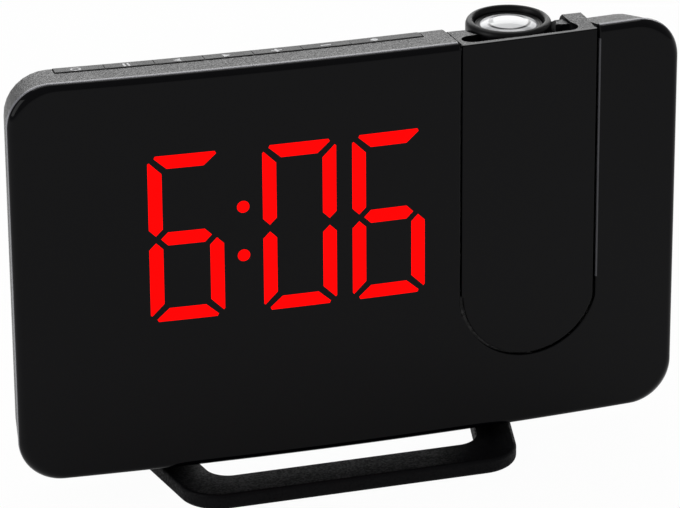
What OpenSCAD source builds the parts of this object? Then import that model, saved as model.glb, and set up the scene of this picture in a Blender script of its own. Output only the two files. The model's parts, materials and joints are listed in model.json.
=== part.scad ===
// Projection alarm clock: a curved glossy face with a large red display, a casing in two
// shells, a row of keys along the top, a swinging projector arm at the right and a loop stand.
// The clock frame has x = 0 in the middle of the face, y = 0 at the front of the face and
// z = 0 at the casing's lowest line. placed() moves it to the part's own frame, whose origin
// is on the table under the middle of the whole object.

/* [Body] */
// Width of the face
body_w = 188; // [184:1:196]
// Height of the face
body_h = 115.8; // [114:0.2:120]
// Depth of the casing from the face to the flat back
body_d = 27; // [26.5:0.1:28]
// Plan radius of the curved face
face_r = 1077; // [950:1:1300]
// Radius of the face's four corners
corner_r = 12; // [10:0.5:14]
// Width of the rounding round the face's edge
face_round = 2; // [1.6:0.1:2.2]
// Thickness of the glossy panel
panel_t = 2.4; // [2.2:0.1:2.6]
// Wall thickness of both shells
wall = 2; // [1.8:0.1:2.2]
// Depth of the parting line behind the face
parting_d = 11; // [10.5:0.1:11.5]
// Radius of the first, tight rounding behind the parting line
shoulder_r = 8; // [7.5:0.1:8.5]

/* [Display] */
// Height of one digit
digit_h = 48.3; // [44:0.1:50]
// Width of one digit
digit_w = 20.5; // [19:0.1:21]
// Distance between digits
digit_pitch = 25; // [24.5:0.1:25.5]
// Extra distance for the colon
colon_gap = 6.4; // [6:0.1:7]
// Centre of the colon from the middle of the face
display_x = -31.2; // [-32:0.1:-30]
// Height of the digits' centre above the middle of the face
display_up = 11.1; // [9:0.1:12]
// Width of a segment's bar
seg_w = 3.8; // [3.4:0.1:4]
// Gap across the mitre between two segments
seg_gap = 2; // [1.6:0.1:2.2]
// Diameter of a colon dot
dot_d = 3.8; // [3:0.1:4]
// Clearance of a segment in its window
seg_clear = 0.05; // [0.03:0.01:0.08]

/* [Keys] */
// Number of keys
key_count = 7; // [5:1:7]
// Distance between keys
key_pitch = 13.7; // [13.2:0.1:13.9]
// Centre of the first key
key_x0 = -72.6; // [-73:0.1:-72]
// Extra length of the last key
last_key_extra = 6.6; // [4:0.1:7]
// Gap between keys
key_gap = 0.35; // [0.3:0.05:0.5]
// Front-to-back length of a key
key_len = 6.2; // [5.8:0.1:6.4]
// How far a key stands above the casing
key_proud = 0.15; // [0.1:0.05:0.4]
// How far a key travels
key_travel = 0.6; // [0.4:0.05:0.7]

/* [Projector arm] */
// Middle of the arm from the middle of the face
arm_x = 49.95; // [49.5:0.05:50.5]
// Width of the arm
arm_w = 38.8; // [38.2:0.1:39.4]
// Depth of the arm's hinge line behind the face
arm_axis_y = 14.4; // [14.2:0.05:14.6]
// Height of the arm's hinge line
arm_axis_z = 41.2; // [40:0.1:42]
// Gap round the arm
arm_gap = 0.7; // [0.6:0.05:0.8]
// How far the arm's top stays below the casing's
arm_low = 0.45; // [0.3:0.05:0.6]
// Thickness of the arm's glossy front plate
arm_plate_t = 1.3; // [1.2:0.05:1.5]
// Wall thickness of the arm
arm_wall = 1.8; // [1.6:0.1:2]
// Radius of the arm's hinge pins
arm_pin_r = 3.5; // [3:0.1:3.8]
// Running clearance of the hinge pins
pin_clear = 0.06; // [0.03:0.01:0.09]
// Length of the slot in the arm's top
slot_len = 33.4; // [32:0.1:33.6]
// Width of the slot in the arm's top
slot_w = 6.5; // [6:0.1:6.8]

/* [Focus ring and lens] */
// Radius of the focus ring
ring_r = 11.8; // [11.5:0.1:12]
// Radius of the focus ring's mouth
ring_mouth_r = 9.6; // [9.4:0.1:9.8]
// Height of the focus ring
ring_h = 7.95; // [7.8:0.05:8.1]
// Centre of the ring from the middle of the face
ring_x = 48.4; // [48:0.1:48.8]
// Centre of the ring behind the face
ring_y = 15.7; // [15.5:0.1:15.9]
// Radius of the projector lens
lens_r = 8.8; // [8.6:0.1:8.9]
// Radius of the guide tube's bore
guide_r = 8; // [7.8:0.1:8.1]
// Travel of the lens each way
lens_travel = 1; // [0.8:0.1:1]

/* [Stand] */
// Gap between the stand and the casing
stand_gap = 4; // [3.5:0.1:4.5]
// Thickness of the stand
stand_t = 4.6; // [4.2:0.1:5]
// Thickness of a foot pad that shows under the stand
pad_proud = 0.5; // [0.4:0.05:0.6]
// Front of the stand ahead of the face
stand_reach = 10.6; // [10:0.1:11.2]
// Half the width of the stand across its legs
stand_half_w = 53.1; // [52:0.1:54]
// Width of the front bar
bar_w = 11.9; // [11.4:0.1:12.4]
// Width of a leg
leg_w = 11.1; // [10.8:0.1:11.4]
// Middle of the stand from the middle of the face
stand_x = -2.25; // [-3:0.05:-1]
// Hinge line of the stand behind the face
stand_axis_y = 31; // [30.8:0.1:31.5]
// Radius of the stand's knuckles
knuckle_r = 4.2; // [4.1:0.05:4.3]
// Radius of the stand's hinge pins
stand_pin_r = 1.5; // [1.3:0.05:1.7]

/* [Hidden] */
$fn = 64;
big = 200;                                   // longer than the whole clock
eps = 0.01;                                  // overlap that keeps a cut clean
band_a = 6;                                  // slope of the band behind the face, degrees
side_a = 9;                                  // slope of the casing's two ends, degrees
band_end = parting_d + 4;                    // depth where the shoulder starts
shoulder_a = 40;                             // slope at the end of the shoulder
dome_a = 80;                                 // slope where the dome meets the flat back
body_lift = pad_proud + stand_t + stand_gap; // height of the casing's lowest line
knuckle_z = pad_proud + knuckle_r - body_lift;  // stand hinge line in the clock frame
row_y = (stand_axis_y + knuckle_r - stand_reach) / 2;  // middle of the whole depth
band_in = (band_end - face_round) * tan(band_a);       // height lost along the band
shoulder_d = band_end + shoulder_r * (sin(shoulder_a) - sin(band_a));
shoulder_in = band_in + shoulder_r * (cos(band_a) - cos(shoulder_a));
dome_r = (body_d - shoulder_d) / (sin(dome_a) - sin(shoulder_a));
side_extra = tan(side_a) - tan(band_a);
display_z = body_h / 2 + display_up;              // height of the digits' centre

BLACK_GLOSS = "#121214";
BLACK_MATTE = "#26272a";
GREY_MATTE = "#3a3b3f";
RED_LIT = "#ff0808";
RED_DARK = "#3a1010";
WHITE_ABS = "#e8e8e4";
PCB_GREEN = "#1f5a38";
STEEL = "#b8babd";
RUBBER = "#1b1b1c";
LENS = "#dfe8ee";

// Arm
arm_half = arm_w / 2;
arm_front_d = arm_axis_y - face_y(arm_x);          // hinge line to the face, at the arm
arm_ball_r = sqrt(arm_half * arm_half + arm_front_d * arm_front_d);
arm_top = body_h - arm_low;                        // height of the arm's front top edge
arm_back_y = arm_axis_y + 14.6;                    // back of the arm
arm_top_a = 5;                                     // slope of the arm's top
arm_roof_y = 14.5;                                 // where the arm's top bends down
arm_roof_a = 27;                                   // slope of the arm's top behind that
arm_split_y = 21;                                  // joint between the arm's two halves
arm_edge = 0.7;                                    // chamfer along the arm's front edges
well_r = ring_r + 1.2;
well_z = body_h - 8.2;                             // floor of the ring's well
deck_t = 2;
ring_z = well_z + 0.3;
ring_top = ring_z + ring_h;
slot_front = arm_plate_t + 0.5;
slot_deep = 5;
slot_x = ring_x + 0.15;                            // middle of the slot
guide_wall = 1.3;
guide_top = well_z + 2.1;
guide_low = body_h - 20;
carrier_head_r = ring_mouth_r - 0.3;
carrier_head_z = guide_top + lens_travel + 0.3;
carrier_top = ring_top - 1.7;
tube_low = body_h - 54;

// Stand
knuckle_half = leg_w / 2;
lug_t = 3.6;
lug_gap = 0.3;

// ---------- shared geometry ----------

// Front of the face at x, as a depth in the clock frame.
function face_y(x) = face_r - sqrt(face_r * face_r - x * x);

// Depth and inset of the casing's profile where its slope is a degrees.
function prof(a) = a <= shoulder_a
    ? [band_end + shoulder_r * (sin(a) - sin(band_a)),
       band_in + shoulder_r * (cos(band_a) - cos(a))]
    : [shoulder_d + dome_r * (sin(a) - sin(shoulder_a)),
       shoulder_in + dome_r * (cos(shoulder_a) - cos(a))];

// Height of the casing's top above the clock frame's zero at a depth on the band or shoulder.
function top_z(d) = d <= band_end ? body_h - max(0, d - face_round) * tan(band_a)
    : let (a = asin(min(sin(shoulder_a), (d - band_end) / shoulder_r + sin(band_a))))
      body_h - prof(a)[1];

// One ring of the casing: depth, inset at top and bottom, inset at the ends, share of the plan curve.
function ring_of(d, inset, a, t) = [d - t * sin(a), inset + t * cos(a),
    inset + t * cos(a) + max(0, min(d, band_end) - face_round) * side_extra,
    d <= shoulder_d ? 1 : (body_d - d) / (body_d - shoulder_d)];

// Points of a ring: a rounded rectangle whose long edges are divided to follow the plan curve.
corner_steps = 8;
edge_steps = 8;
function ring_xz(inz, inx) =
    let (hx = body_w / 2 - inx - corner_r, hz = body_h / 2 - inz - corner_r,
         arc = function (cx, cz, a0) [for (k = [0:corner_steps])
             [cx + corner_r * cos(a0 + 90 * k / corner_steps), cz + corner_r * sin(a0 + 90 * k / corner_steps)]],
         edge = function (z, s) [for (k = [1:edge_steps - 1]) [s * hx * (1 - 2 * k / edge_steps), z]])
    concat(arc(hx, hz, 0), edge(hz + corner_r, 1), arc(-hx, hz, 90),
           arc(-hx, -hz, 180), edge(-hz - corner_r, -1), arc(hx, -hz, 270));
function ring_pts(r) = [for (p = ring_xz(r[1], r[2])) [p[0], r[0] + r[3] * face_y(p[0]),
    p[1] + body_h / 2 - (p[0] > arm_x && p[1] > 0 ? end_drop(r[0]) : 0)]];
// Right of the arm the top falls away straight behind the parting line.
function end_drop(d) = max(0, min(d, 18) - parting_d + 0.8) * (tan(25) - tan(band_a));

// A closed solid through a list of rings, first and last ring flat.
module skin(rings) {
    n = len(ring_xz(0, 0));
    m = len(rings);
    pts = [for (r = rings) each ring_pts(r)];
    sides = [for (i = [0:m - 2], j = [0:n - 1]) let (k = (j + 1) % n)
        each [[i * n + j, (i + 1) * n + k, (i + 1) * n + j], [i * n + j, i * n + k, (i + 1) * n + k]]];
    polyhedron(pts, concat([[for (j = [0:n - 1]) n - 1 - j]], sides, [[for (j = [0:n - 1]) (m - 1) * n + j]]), convexity = 4);
}

// The casing's outer form, or with t its inner wall.
module casing(t = 0) {
    slopes = [band_a, 17, 28, shoulder_a, 50, 60, 70, dome_a];
    skin(concat([[-3, t, t, 0], ring_of(face_round, 0, band_a, t)],
                [for (a = slopes) let (p = prof(a)) let (r = ring_of(p[0], p[1], a, t))
                    a == dome_a ? [body_d - t, r[1], r[2], 0] : r]));
}

// Everything behind a surface parallel to the face at depth d.
module behind(d) {
    translate([0, face_r, -big]) cylinder(r = face_r - d, h = 3 * big, $fn = 360);
}

// The layer of the casing between two such surfaces.
module layer(d0, d1) {
    difference() {
        intersection() { children(); behind(d0); }
        behind(d1);
    }
}

module placed() translate([0, -row_y, body_lift]) children();

// Extrudes a shape drawn in x and z along y, from y0 to y1.
module along_y(y0, y1) translate([0, y1, 0]) rotate([90, 0, 0]) linear_extrude(y1 - y0) children();

// Extrudes a shape drawn in y and z along x, centred on x.
module along_x(x, w) translate([x - w / 2, 0, 0]) rotate([90, 0, 90]) linear_extrude(w) children();

module box(x0, x1, y0, y1, z0, z1) translate([x0, y0, z0]) cube([x1 - x0, y1 - y0, z1 - z0]);

module rod_x(x0, x1, y, z, r) translate([x0, y, z]) rotate([0, 90, 0]) cylinder(r = r, h = x1 - x0);
module rod_y(x, z, y0, y1, r) translate([x, y0, z]) rotate([-90, 0, 0]) cylinder(r = r, h = y1 - y0);
module rod_z(x, y, z0, z1, r) translate([x, y, z0]) cylinder(r = r, h = z1 - z0);

// A pan-head screw along y, its head at y0 on the back.
module screw_y(x, z, tip, seat, r, head_r, head_h) {
    difference() {
        union() {
            rod_y(x, z, tip, seat + eps, r);
            rod_y(x, z, seat, seat + head_h, head_r);
        }
        for (a = [0, 90]) translate([x, seat + head_h, z]) rotate([0, a, 0])
            cube([head_r * 1.3, head_h, r * 0.6], center = true);
    }
}

// ---------- display ----------

digit_x = [for (i = [0:3]) display_x + (i - 1.5) * digit_pitch + (i < 2 ? -1 : 1) * colon_gap / 2];
// Segments lit on each digit, for a time of 6:06 with the first digit blank.
lit = ["", "acdefg", "abcdef", "acdefg"];
names = "abcdefg";
function is_lit(i, s) = len(search(s, lit[i])) > 0;
tip_cut = 0.7;                          // blunting of a mitred tip

// Outline of one segment, about the digit's centre.
module segment_2d(s, grow = 0) {
    hw = digit_w / 2 + grow;
    hh = digit_h / 2 + grow;
    t = seg_w + 2 * grow;
    m = seg_gap / 2 * sqrt(2) - grow * (sqrt(2) - 1);
    q = tip_cut;
    flat = [[-hw + m + q, hh], [hw - m - q, hh], [hw - m - q / 2, hh - q], [hw - t - m, hh - t],
            [-hw + t + m, hh - t], [-hw + m + q / 2, hh - q]];
    low = seg_gap / 2 - grow;
    tall = [[-hw, hh - m - q], [-hw + q / 2, hh - m - q / 2], [-hw + t, hh - t - m],
            [-hw + t, low + t / 2], [-hw + t / 2, low], [-hw, low + t / 2]];
    bar = hw - t / 2 - seg_gap / 2 * sqrt(2) + grow;
    mid = [[-bar, 0], [-bar + t / 2, t / 2], [bar - t / 2, t / 2], [bar, 0],
           [bar - t / 2, -t / 2], [-bar + t / 2, -t / 2]];
    if (s == "a") polygon(flat);
    if (s == "d") mirror([0, 1]) polygon(flat);
    if (s == "f") polygon(tall);
    if (s == "b") mirror([1, 0]) polygon(tall);
    if (s == "e") mirror([0, 1]) polygon(tall);
    if (s == "c") mirror([1, 0]) mirror([0, 1]) polygon(tall);
    if (s == "g") polygon(mid);
}

// All lit or all unlit segments as one drawing; the colon counts as lit.
module segments_2d(want, grow = 0) {
    for (i = [0:3], s = names) if (is_lit(i, s) == want)
        translate([digit_x[i], display_z]) segment_2d(s, grow);
    if (want) for (z = [-1, 1]) translate([display_x, display_z + z * 7.1]) circle(d = dot_d + 2 * grow);
}

frame_back_y = 12;                          // back of the segment frame
frame_rim = 1.5;
window = [digit_x[0] - digit_w / 2 - frame_rim, digit_x[3] + digit_w / 2 + frame_rim,
          display_z - digit_h / 2 - frame_rim, display_z + digit_h / 2 + frame_rim];
module window_box(y0, y1, g = 0) box(window[0] - g, window[1] + g, y0, y1, window[2] - g, window[3] + g);

module lit_segments() placed() color(RED_LIT)
    intersection() { along_y(-1, frame_back_y - 1.2) segments_2d(true); behind(0); }

module unlit_segments() placed() color(RED_DARK)
    intersection() { along_y(-1, frame_back_y - 1.2) segments_2d(false); behind(panel_t + 0.1); }

module segment_frame() placed() color(WHITE_ABS) difference() {
    intersection() { window_box(0, frame_back_y); behind(panel_t); }
    along_y(-1, frame_back_y + 1) segments_2d(true, seg_clear);
    along_y(-1, frame_back_y + 1) segments_2d(false, seg_clear);
}

board_t = 1.6;
module display_board() placed() color(PCB_GREEN)
    window_box(frame_back_y, frame_back_y + board_t, 1);

// One light-emitting chip behind the middle of each bar and dot.
module led_chip(x, z) box(x - 0.8, x + 0.8, frame_back_y - 0.9, frame_back_y, z - 1, z + 1);
module display_leds() placed() color("#f2d9a0") {
    sx = (digit_w - seg_w) / 2;
    sz = (digit_h - seg_w) / 2;
    for (x = digit_x, p = [[0, sz], [0, 0], [0, -sz], [sx, sz / 2], [sx, -sz / 2], [-sx, sz / 2], [-sx, -sz / 2]])
        led_chip(x + p[0], display_z + p[1]);
    for (z = [-1, 1]) led_chip(display_x, display_z + z * 7.1);
}

// ---------- face and shells ----------

// The space kept for the arm, or with t the same space with a wall round it.
module arm_space(t = 0) translate([arm_x, arm_axis_y, arm_axis_z]) {
    half = arm_half + arm_gap + t;
    deep = arm_back_y - arm_axis_y + arm_gap + t;
    translate([-half, -big / 2, 0]) cube([2 * half, big, big]);
    intersection() {
        sphere(r = arm_ball_r + arm_gap + t, $fn = 96);
        cube([2 * half, big, big], center = true);
    }
    translate([-half, -t, -deep]) cube([2 * half, big, deep + 1]);
}

module front_panel() placed() color(BLACK_GLOSS) difference() {
    layer(0, panel_t) panel_blank();
    arm_space();
    along_y(-2, 2 * panel_t + 3) segments_2d(true, seg_clear);
}

// The face's outline with its rounded edge.
module panel_blank() {
    r = face_round;
    skin(concat([[-3, r, r, 0]],
        [for (a = [0, 22, 45, 68, 90]) [r * (1 - cos(a)) - (a == 0 ? 0.05 : 0), r * (1 - sin(a)), r * (1 - sin(a)), 1]],
        [[panel_t + 3, 0, 0, 1], [panel_t + 12, 0, 0, 0]]));
}

screw_at = [[-70, 30], [-70, 99.7], [14, 30], [14, 99.7], [82, 56]];
boss_r = 2.8;
rear_boss_r = 3.4;
front_wall = 1.6;

module front_shell() placed() color(BLACK_MATTE) difference() {
    union() {
        layer(panel_t, parting_d) casing();
        for (s = screw_at) intersection() {
            rod_y(s[0], s[1], 0, parting_d + face_y(s[0]) + 3.6, boss_r);
            behind(panel_t);
        }
    }
    difference() {
        layer(panel_t + front_wall, parting_d + 1) casing(wall);
        arm_space(wall);
        for (s = screw_at) rod_y(s[0], s[1], 0, big / 4, boss_r);
    }
    window_box(-5, big / 4, 0.1);
    arm_space();
    for (s = screw_at) rod_y(s[0], s[1], panel_t + front_wall + face_y(s[0]), big / 4, 1.05);
    pin_seats();
}

// Both shells close round the arm's hinge pins.
module pin_seats() for (s = [-1, 1]) let (x = arm_x + s * (arm_half + arm_gap + wall / 2))
    rod_x(x - wall, x + wall, arm_axis_y, arm_axis_z, arm_pin_r);

function key_x(i) = key_x0 + i * key_pitch + (i == key_count - 1 ? last_key_extra / 2 : 0);
function key_w(i) = key_pitch - key_gap + (i == key_count - 1 ? last_key_extra : 0);
key_front_d = parting_d + 0.25;
flange = 0.8;
flange_drop = wall + 1.4;                 // top of a key's flange below the casing's top

// Moves a drawing to key i, turned to follow the face's plan curve.
module at_key(i) translate([key_x(i), face_y(key_x(i)), 0]) rotate([0, 0, asin(key_x(i) / face_r)]) children();

// Plan outline of a key with rounded corners.
module key_plan(w, grow = 0) {
    r = 0.5;
    x = w / 2 + grow - r;
    y0 = key_front_d - grow + r;
    y1 = key_front_d + key_len + grow - r;
    for (sx = [-x, x], y = [y0, y1]) translate([sx, y]) circle(r = r, $fn = 24);
    translate([-x - r, y0]) square([2 * (x + r), y1 - y0]);
    translate([-x, y0 - r]) square([2 * x, y1 - y0 + 2 * r]);
}

// Side profile of a skin over the keys, between two heights above the casing's top.
module key_profile(low, high) {
    d = [for (k = [0:7]) key_front_d - 2 + k * (key_len + 4) / 7];
    polygon(concat([for (y = d) [y, top_z(y) + high]], [for (k = [7:-1:0]) [d[k], top_z(d[k]) + low]]));
}

switch_z = body_h - 10.4;                 // top of the key board
module key(i) placed() at_key(i) color(GREY_MATTE) {
    intersection() {
        translate([0, 0, body_h - 12]) linear_extrude(20) key_plan(key_w(i));
        along_x(0, 3 * key_pitch) key_profile(-flange_drop - flange, key_proud);
    }
    intersection() {
        translate([0, 0, body_h - 12]) linear_extrude(20) key_plan(key_w(i) - 2 * flange, flange);
        along_x(0, 3 * key_pitch) key_profile(-flange_drop - flange, -flange_drop);
    }
    stem_z = switch_z + 3.6 + key_travel;
    box(-1.5, 1.5, key_front_d + 1, key_front_d + 4.2, stem_z, body_h - 3.4);
}

module speaker_slots() for (k = [-3:3]) let (w = 2 * sqrt(144 - pow(k * 3.2, 2)))
    box(speaker_x - w / 2, speaker_x + w / 2, body_d - wall - 1, body_d + 1,
        speaker_z + k * 3.2 - 0.7, speaker_z + k * 3.2 + 0.7);

tab_z = -13.4;                            // the cell door's screw, below the cell's centre
cell_lip = 1.6;
// Outline of the cell's door: a disc with a tab for its screw.
module door_plan(grow = 0) {
    circle(r = cell_r + 1.4 + grow);
    translate([0, tab_z]) circle(r = 2.9 + grow, $fn = 48);
    translate([-2.9 - grow, tab_z]) square([5.8 + 2 * grow, -tab_z]);
}

// Standoffs for the main board, with pins through it.
stand_offs = [for (x = [-59, 5], z = [26, 57]) [x, z]];
module board_posts() for (p = stand_offs) {
    rod_y(p[0], p[1], main_y + board_t, big / 4, 2.4);
    rod_y(p[0], p[1], main_y - 0.6, big / 4, 1.15);
}

// Shelves behind the key board.
module key_shelves() for (x = [-54, -22]) box(x - 1, x + 1, 16, big / 4, 101, switch_z - board_t);

speaker_x = -48;
speaker_z = 76;
speaker_r = 14;
jack_x = -40;
usb_x = -14;
port_z = 33;
cell_x = 4;
cell_z = 76;
cell_r = 10;
cell_seat_y = body_d - 7;

// Two lugs and a stop rib that carry one stand knuckle.
module stand_lugs(x) {
    side = knuckle_half + lug_gap;
    for (s = [-1, 1]) {
        along_x(x + s * (side + lug_t / 2), lug_t) {
            translate([stand_axis_y, knuckle_z]) circle(r = knuckle_r);
            polygon([[17, 4.5], [stand_axis_y - knuckle_r * 0.5, knuckle_z - knuckle_r * 0.8],
                     [stand_axis_y + knuckle_r, knuckle_z], [stand_axis_y - 3, 4.5], [26.6, 23], [20, 17]]);
        }
    }
    along_x(x, 2 * side + eps) polygon([[15, 2], [19, knuckle_r * 0 - stand_gap + lug_gap], [23.5, -stand_gap + lug_gap], [23.5, 12], [19, 9]]);
}

module rear_shell() placed() color(BLACK_MATTE) difference() {
    intersection() { casing(); behind(parting_d); }
    // the cavity, less what stands in it: the notch's walls, the bosses and the cell's cup
    difference() {
        casing(wall);
        arm_space(wall);
        for (s = screw_at) rod_y(s[0], s[1], parting_d + face_y(s[0]) + 3.8, big / 4, rear_boss_r);
        rod_y(cell_x, cell_z, cell_seat_y - 1.2, big / 4, cell_r + 2.2);
        rod_y(cell_x, cell_z + tab_z, body_d - 6, big / 4, 2.9);
        board_posts();
        key_shelves();
    }
    arm_space();
    for (i = [0:key_count - 1]) at_key(i)
        translate([0, 0, body_h - 6]) linear_extrude(20) {
            key_plan(key_w(i), 0.35);
            if (i < key_count - 1) translate([0, key_front_d - 0.35]) square([key_pitch, key_len + 0.7]);
        }
    for (s = screw_at) {
        rod_y(s[0], s[1], 0, big / 4, 1.4);
        rod_y(s[0], s[1], screw_seat(s), big / 4, 2.6);
    }
    speaker_slots();
    rod_y(jack_x, port_z, body_d - wall - 1, big / 4, 4);
    box(usb_x - 6.9, usb_x + 6.9, body_d - wall - 1, big / 4, port_z - 3.2, port_z + 3.2);
    rod_y(cell_x, cell_z, cell_seat_y, big / 4, cell_r + 0.4);
    translate([cell_x, 0, cell_z]) along_y(body_d - cell_lip, big / 4) door_plan(0.2);
    rod_y(cell_x, cell_z + tab_z, body_d - 5.4, big / 4, 0.95);
    pin_seats();
}

module hinge_lugs() placed() color(BLACK_MATTE) difference() {
    for (s = [-1, 1]) stand_lugs(stand_x + s * (stand_half_w - knuckle_half));
    casing();
    for (s = [-1, 1]) let (x = stand_x + s * (stand_half_w - knuckle_half))
        rod_x(x - big / 10, x + big / 10, stand_axis_y, knuckle_z, stand_pin_r);
}
function screw_seat(s) = parting_d + face_y(s[0]) + 6;

module case_screws() placed() color(STEEL) for (s = screw_at)
    screw_y(s[0], s[1], panel_t + front_wall + face_y(s[0]) + 0.5, screw_seat(s), 1.05, 2.4, 1.6);

// ---------- electronics ----------

main_y = body_d - 8;
main_x = [-62, 8];
main_z = [23, 60];
module main_board() placed() color(PCB_GREEN) difference() {
    box(main_x[0], main_x[1], main_y, main_y + board_t, main_z[0], main_z[1]);
    for (p = stand_offs) rod_y(p[0], p[1], main_y - 1, main_y + 3, 1.2);
}
module main_chip() placed() color("#1c1c1e") box(-30, -18, main_y - 2, main_y, 44, 52);
module smoothing_capacitor() placed() color("#2a3358") rod_y(-52, 35.6, main_y - 5, main_y, 3);
module clock_crystal() placed() color(STEEL) box(-12, -4, main_y - 1.6, main_y, 50, 53);

module speaker() placed() {
    color("#303234") rod_y(speaker_x, speaker_z, body_d - wall - 3, body_d - wall, speaker_r);
    color(STEEL) rod_y(speaker_x, speaker_z, body_d - wall - 6, body_d - wall - 3, 7);
}

module dc_jack() placed() color("#1a1a1c") {
    difference() {
        union() {
            box(jack_x - 4.5, jack_x + 4.5, main_y + board_t, body_d - wall - 0.2, port_z - 4.8, port_z + 4.8);
            rod_y(jack_x, port_z, body_d - wall - 0.3, body_d - 0.2, 3.9);
        }
        rod_y(jack_x, port_z, main_y + board_t + 0.8, big / 4, 2.85);
    }
    rod_y(jack_x, port_z, main_y + board_t + 0.7, body_d - 1.2, 0.95);
}

module usb_port() placed() color(STEEL) {
    difference() {
        box(usb_x - 6.7, usb_x + 6.7, main_y + board_t, body_d - 0.3, port_z - 3, port_z + 3);
        box(usb_x - 6.3, usb_x + 6.3, main_y + board_t + 1, body_d + 1, port_z - 2.6, port_z + 2.6);
    }
    box(usb_x - 5.4, usb_x + 5.4, main_y + board_t + 0.9, body_d - 1.2, port_z + 0.3, port_z + 2);
}

module key_board() placed() color(PCB_GREEN)
    box(key_x0 - 7, key_x(key_count - 1) + 8, 11.9, 21.4, switch_z - board_t, switch_z);

module key_switches() placed() for (i = [0:key_count - 1]) at_key(i) {
    color("#222224") box(-2.2, 2.2, key_front_d + 0.6, key_front_d + 5, switch_z, switch_z + 2.6);
    color(STEEL) rod_z(0, key_front_d + 2.6, switch_z + 2.6, switch_z + 3.3, 1.1);
}

module backup_cell() placed() color(STEEL) rod_y(cell_x, cell_z, cell_seat_y + 0.6, cell_seat_y + 3.8, cell_r);
module cell_contacts() placed() color(STEEL) {
    box(cell_x - 3, cell_x + 3, cell_seat_y, cell_seat_y + 0.6, cell_z - 6, cell_z + 6);
    box(cell_x - 2, cell_x + 2, cell_seat_y + 3.8, cell_seat_y + 4.2, cell_z + 2, cell_z + cell_r);
}
module cell_door() placed() color(BLACK_MATTE) difference() {
    translate([cell_x, 0, cell_z]) along_y(body_d - cell_lip, body_d - 0.1) door_plan();
    rod_y(cell_x, cell_z + tab_z, body_d - 3, body_d + 1, 1.1);
    rod_y(cell_x, cell_z + tab_z, body_d - 0.9, body_d + 1, 2.1);
    // finger grooves
    for (z = [3, 5.5, 8]) box(cell_x - 4, cell_x + 4, body_d - 0.6, body_d + 1, cell_z + z, cell_z + z + 1);
}
module cell_door_screw() placed() color(STEEL)
    screw_y(cell_x, cell_z + tab_z, body_d - 5, body_d - 0.9, 0.95, 1.9, 0.7);

// ---------- keys ----------

module key_1() key(0);
module key_2() key(1);
module key_3() key(2);
module key_4() key(3);
module key_5() key(4);
module key_6() key(5);
module key_7() key(6);

// ---------- projector arm ----------

// Plan section of the arm: chamfered front edges, rounded back edges.
module arm_plan(t) {
    r = 3;
    h = arm_half - t;
    y0 = face_y(arm_x) - 6;
    yf = face_y(arm_x) + 1.2;
    y1 = arm_back_y - t;
    difference() {
        union() {
            translate([-h, y0]) square([2 * h, y1 - r - y0]);
            translate([-h + r, y0]) square([2 * (h - r), y1 - y0]);
            for (s = [-1, 1]) translate([s * (h - r), y1 - r]) circle(r = r, $fn = 48);
        }
        for (s = [-1, 1]) translate([s * h, yf - 1.2 + (s > 0 ? face_y(arm_x + h) - face_y(arm_x) : face_y(arm_x - h) - face_y(arm_x))])
            rotate(45) square(arm_edge * sqrt(2), center = true);
    }
}

// Side section of the arm above its hinge line.
module arm_side(t) {
    top = arm_top - t;
    bend_z = top - (arm_roof_y - face_round) * tan(arm_top_a);
    back = arm_back_y - t;
    polygon([[-8, arm_axis_z - 40], [-8, top], [face_round, top], [arm_roof_y, bend_z],
             [back - 2, bend_z - (back - 2 - arm_roof_y) * tan(arm_roof_a)],
             [back, bend_z - (back - arm_roof_y) * tan(arm_roof_a) - 2], [back, arm_axis_z - 40]]);
}

// A flat pad at the right of the arm's top, behind its front edge.
pad_w = 5.4;
module arm_pad() polygon([[5, arm_top - 3], [5, arm_top - 0.26], [12, arm_top - 0.1], [16.2, arm_top - 0.35],
                          [17.6, arm_top - 1.4], [19.5, arm_top - 4], [19.5, arm_top - 6]]);

// The arm's outer form, or with t its inner wall.
module arm_form(t = 0) {
    intersection() {
        translate([arm_x, 0, -big / 2]) linear_extrude(2 * big) arm_plan(t);
        union() {
            along_x(arm_x, arm_w) arm_side(t);
            if (t == 0) along_x(arm_x + arm_half - pad_w / 2, pad_w) arm_pad();
        }
        union() {
            translate([arm_x - big / 2, -big / 2, arm_axis_z]) cube(big);
            translate([arm_x, arm_axis_y, arm_axis_z]) sphere(r = arm_ball_r - t, $fn = 96);
        }
        behind(0);
    }
}

module ring_well() {
    rod_z(ring_x, ring_y, well_z, body_h + 5, well_r);
    // slot across the top, in front of the ring
    translate([slot_x, slot_front + face_y(slot_x) + slot_w / 2, body_h - slot_deep])
        rotate([0, 0, asin(slot_x / face_r)]) linear_extrude(slot_deep + 1) {
        square([slot_len - slot_w, slot_w], center = true);
        for (s = [-1, 1]) translate([s * (slot_len - slot_w) / 2, 0]) circle(d = slot_w, $fn = 48);
    }
}

module arm_plate() placed() color(BLACK_GLOSS) difference() {
    intersection() { arm_form(); behind(0); }
    behind(arm_plate_t);
}

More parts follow.
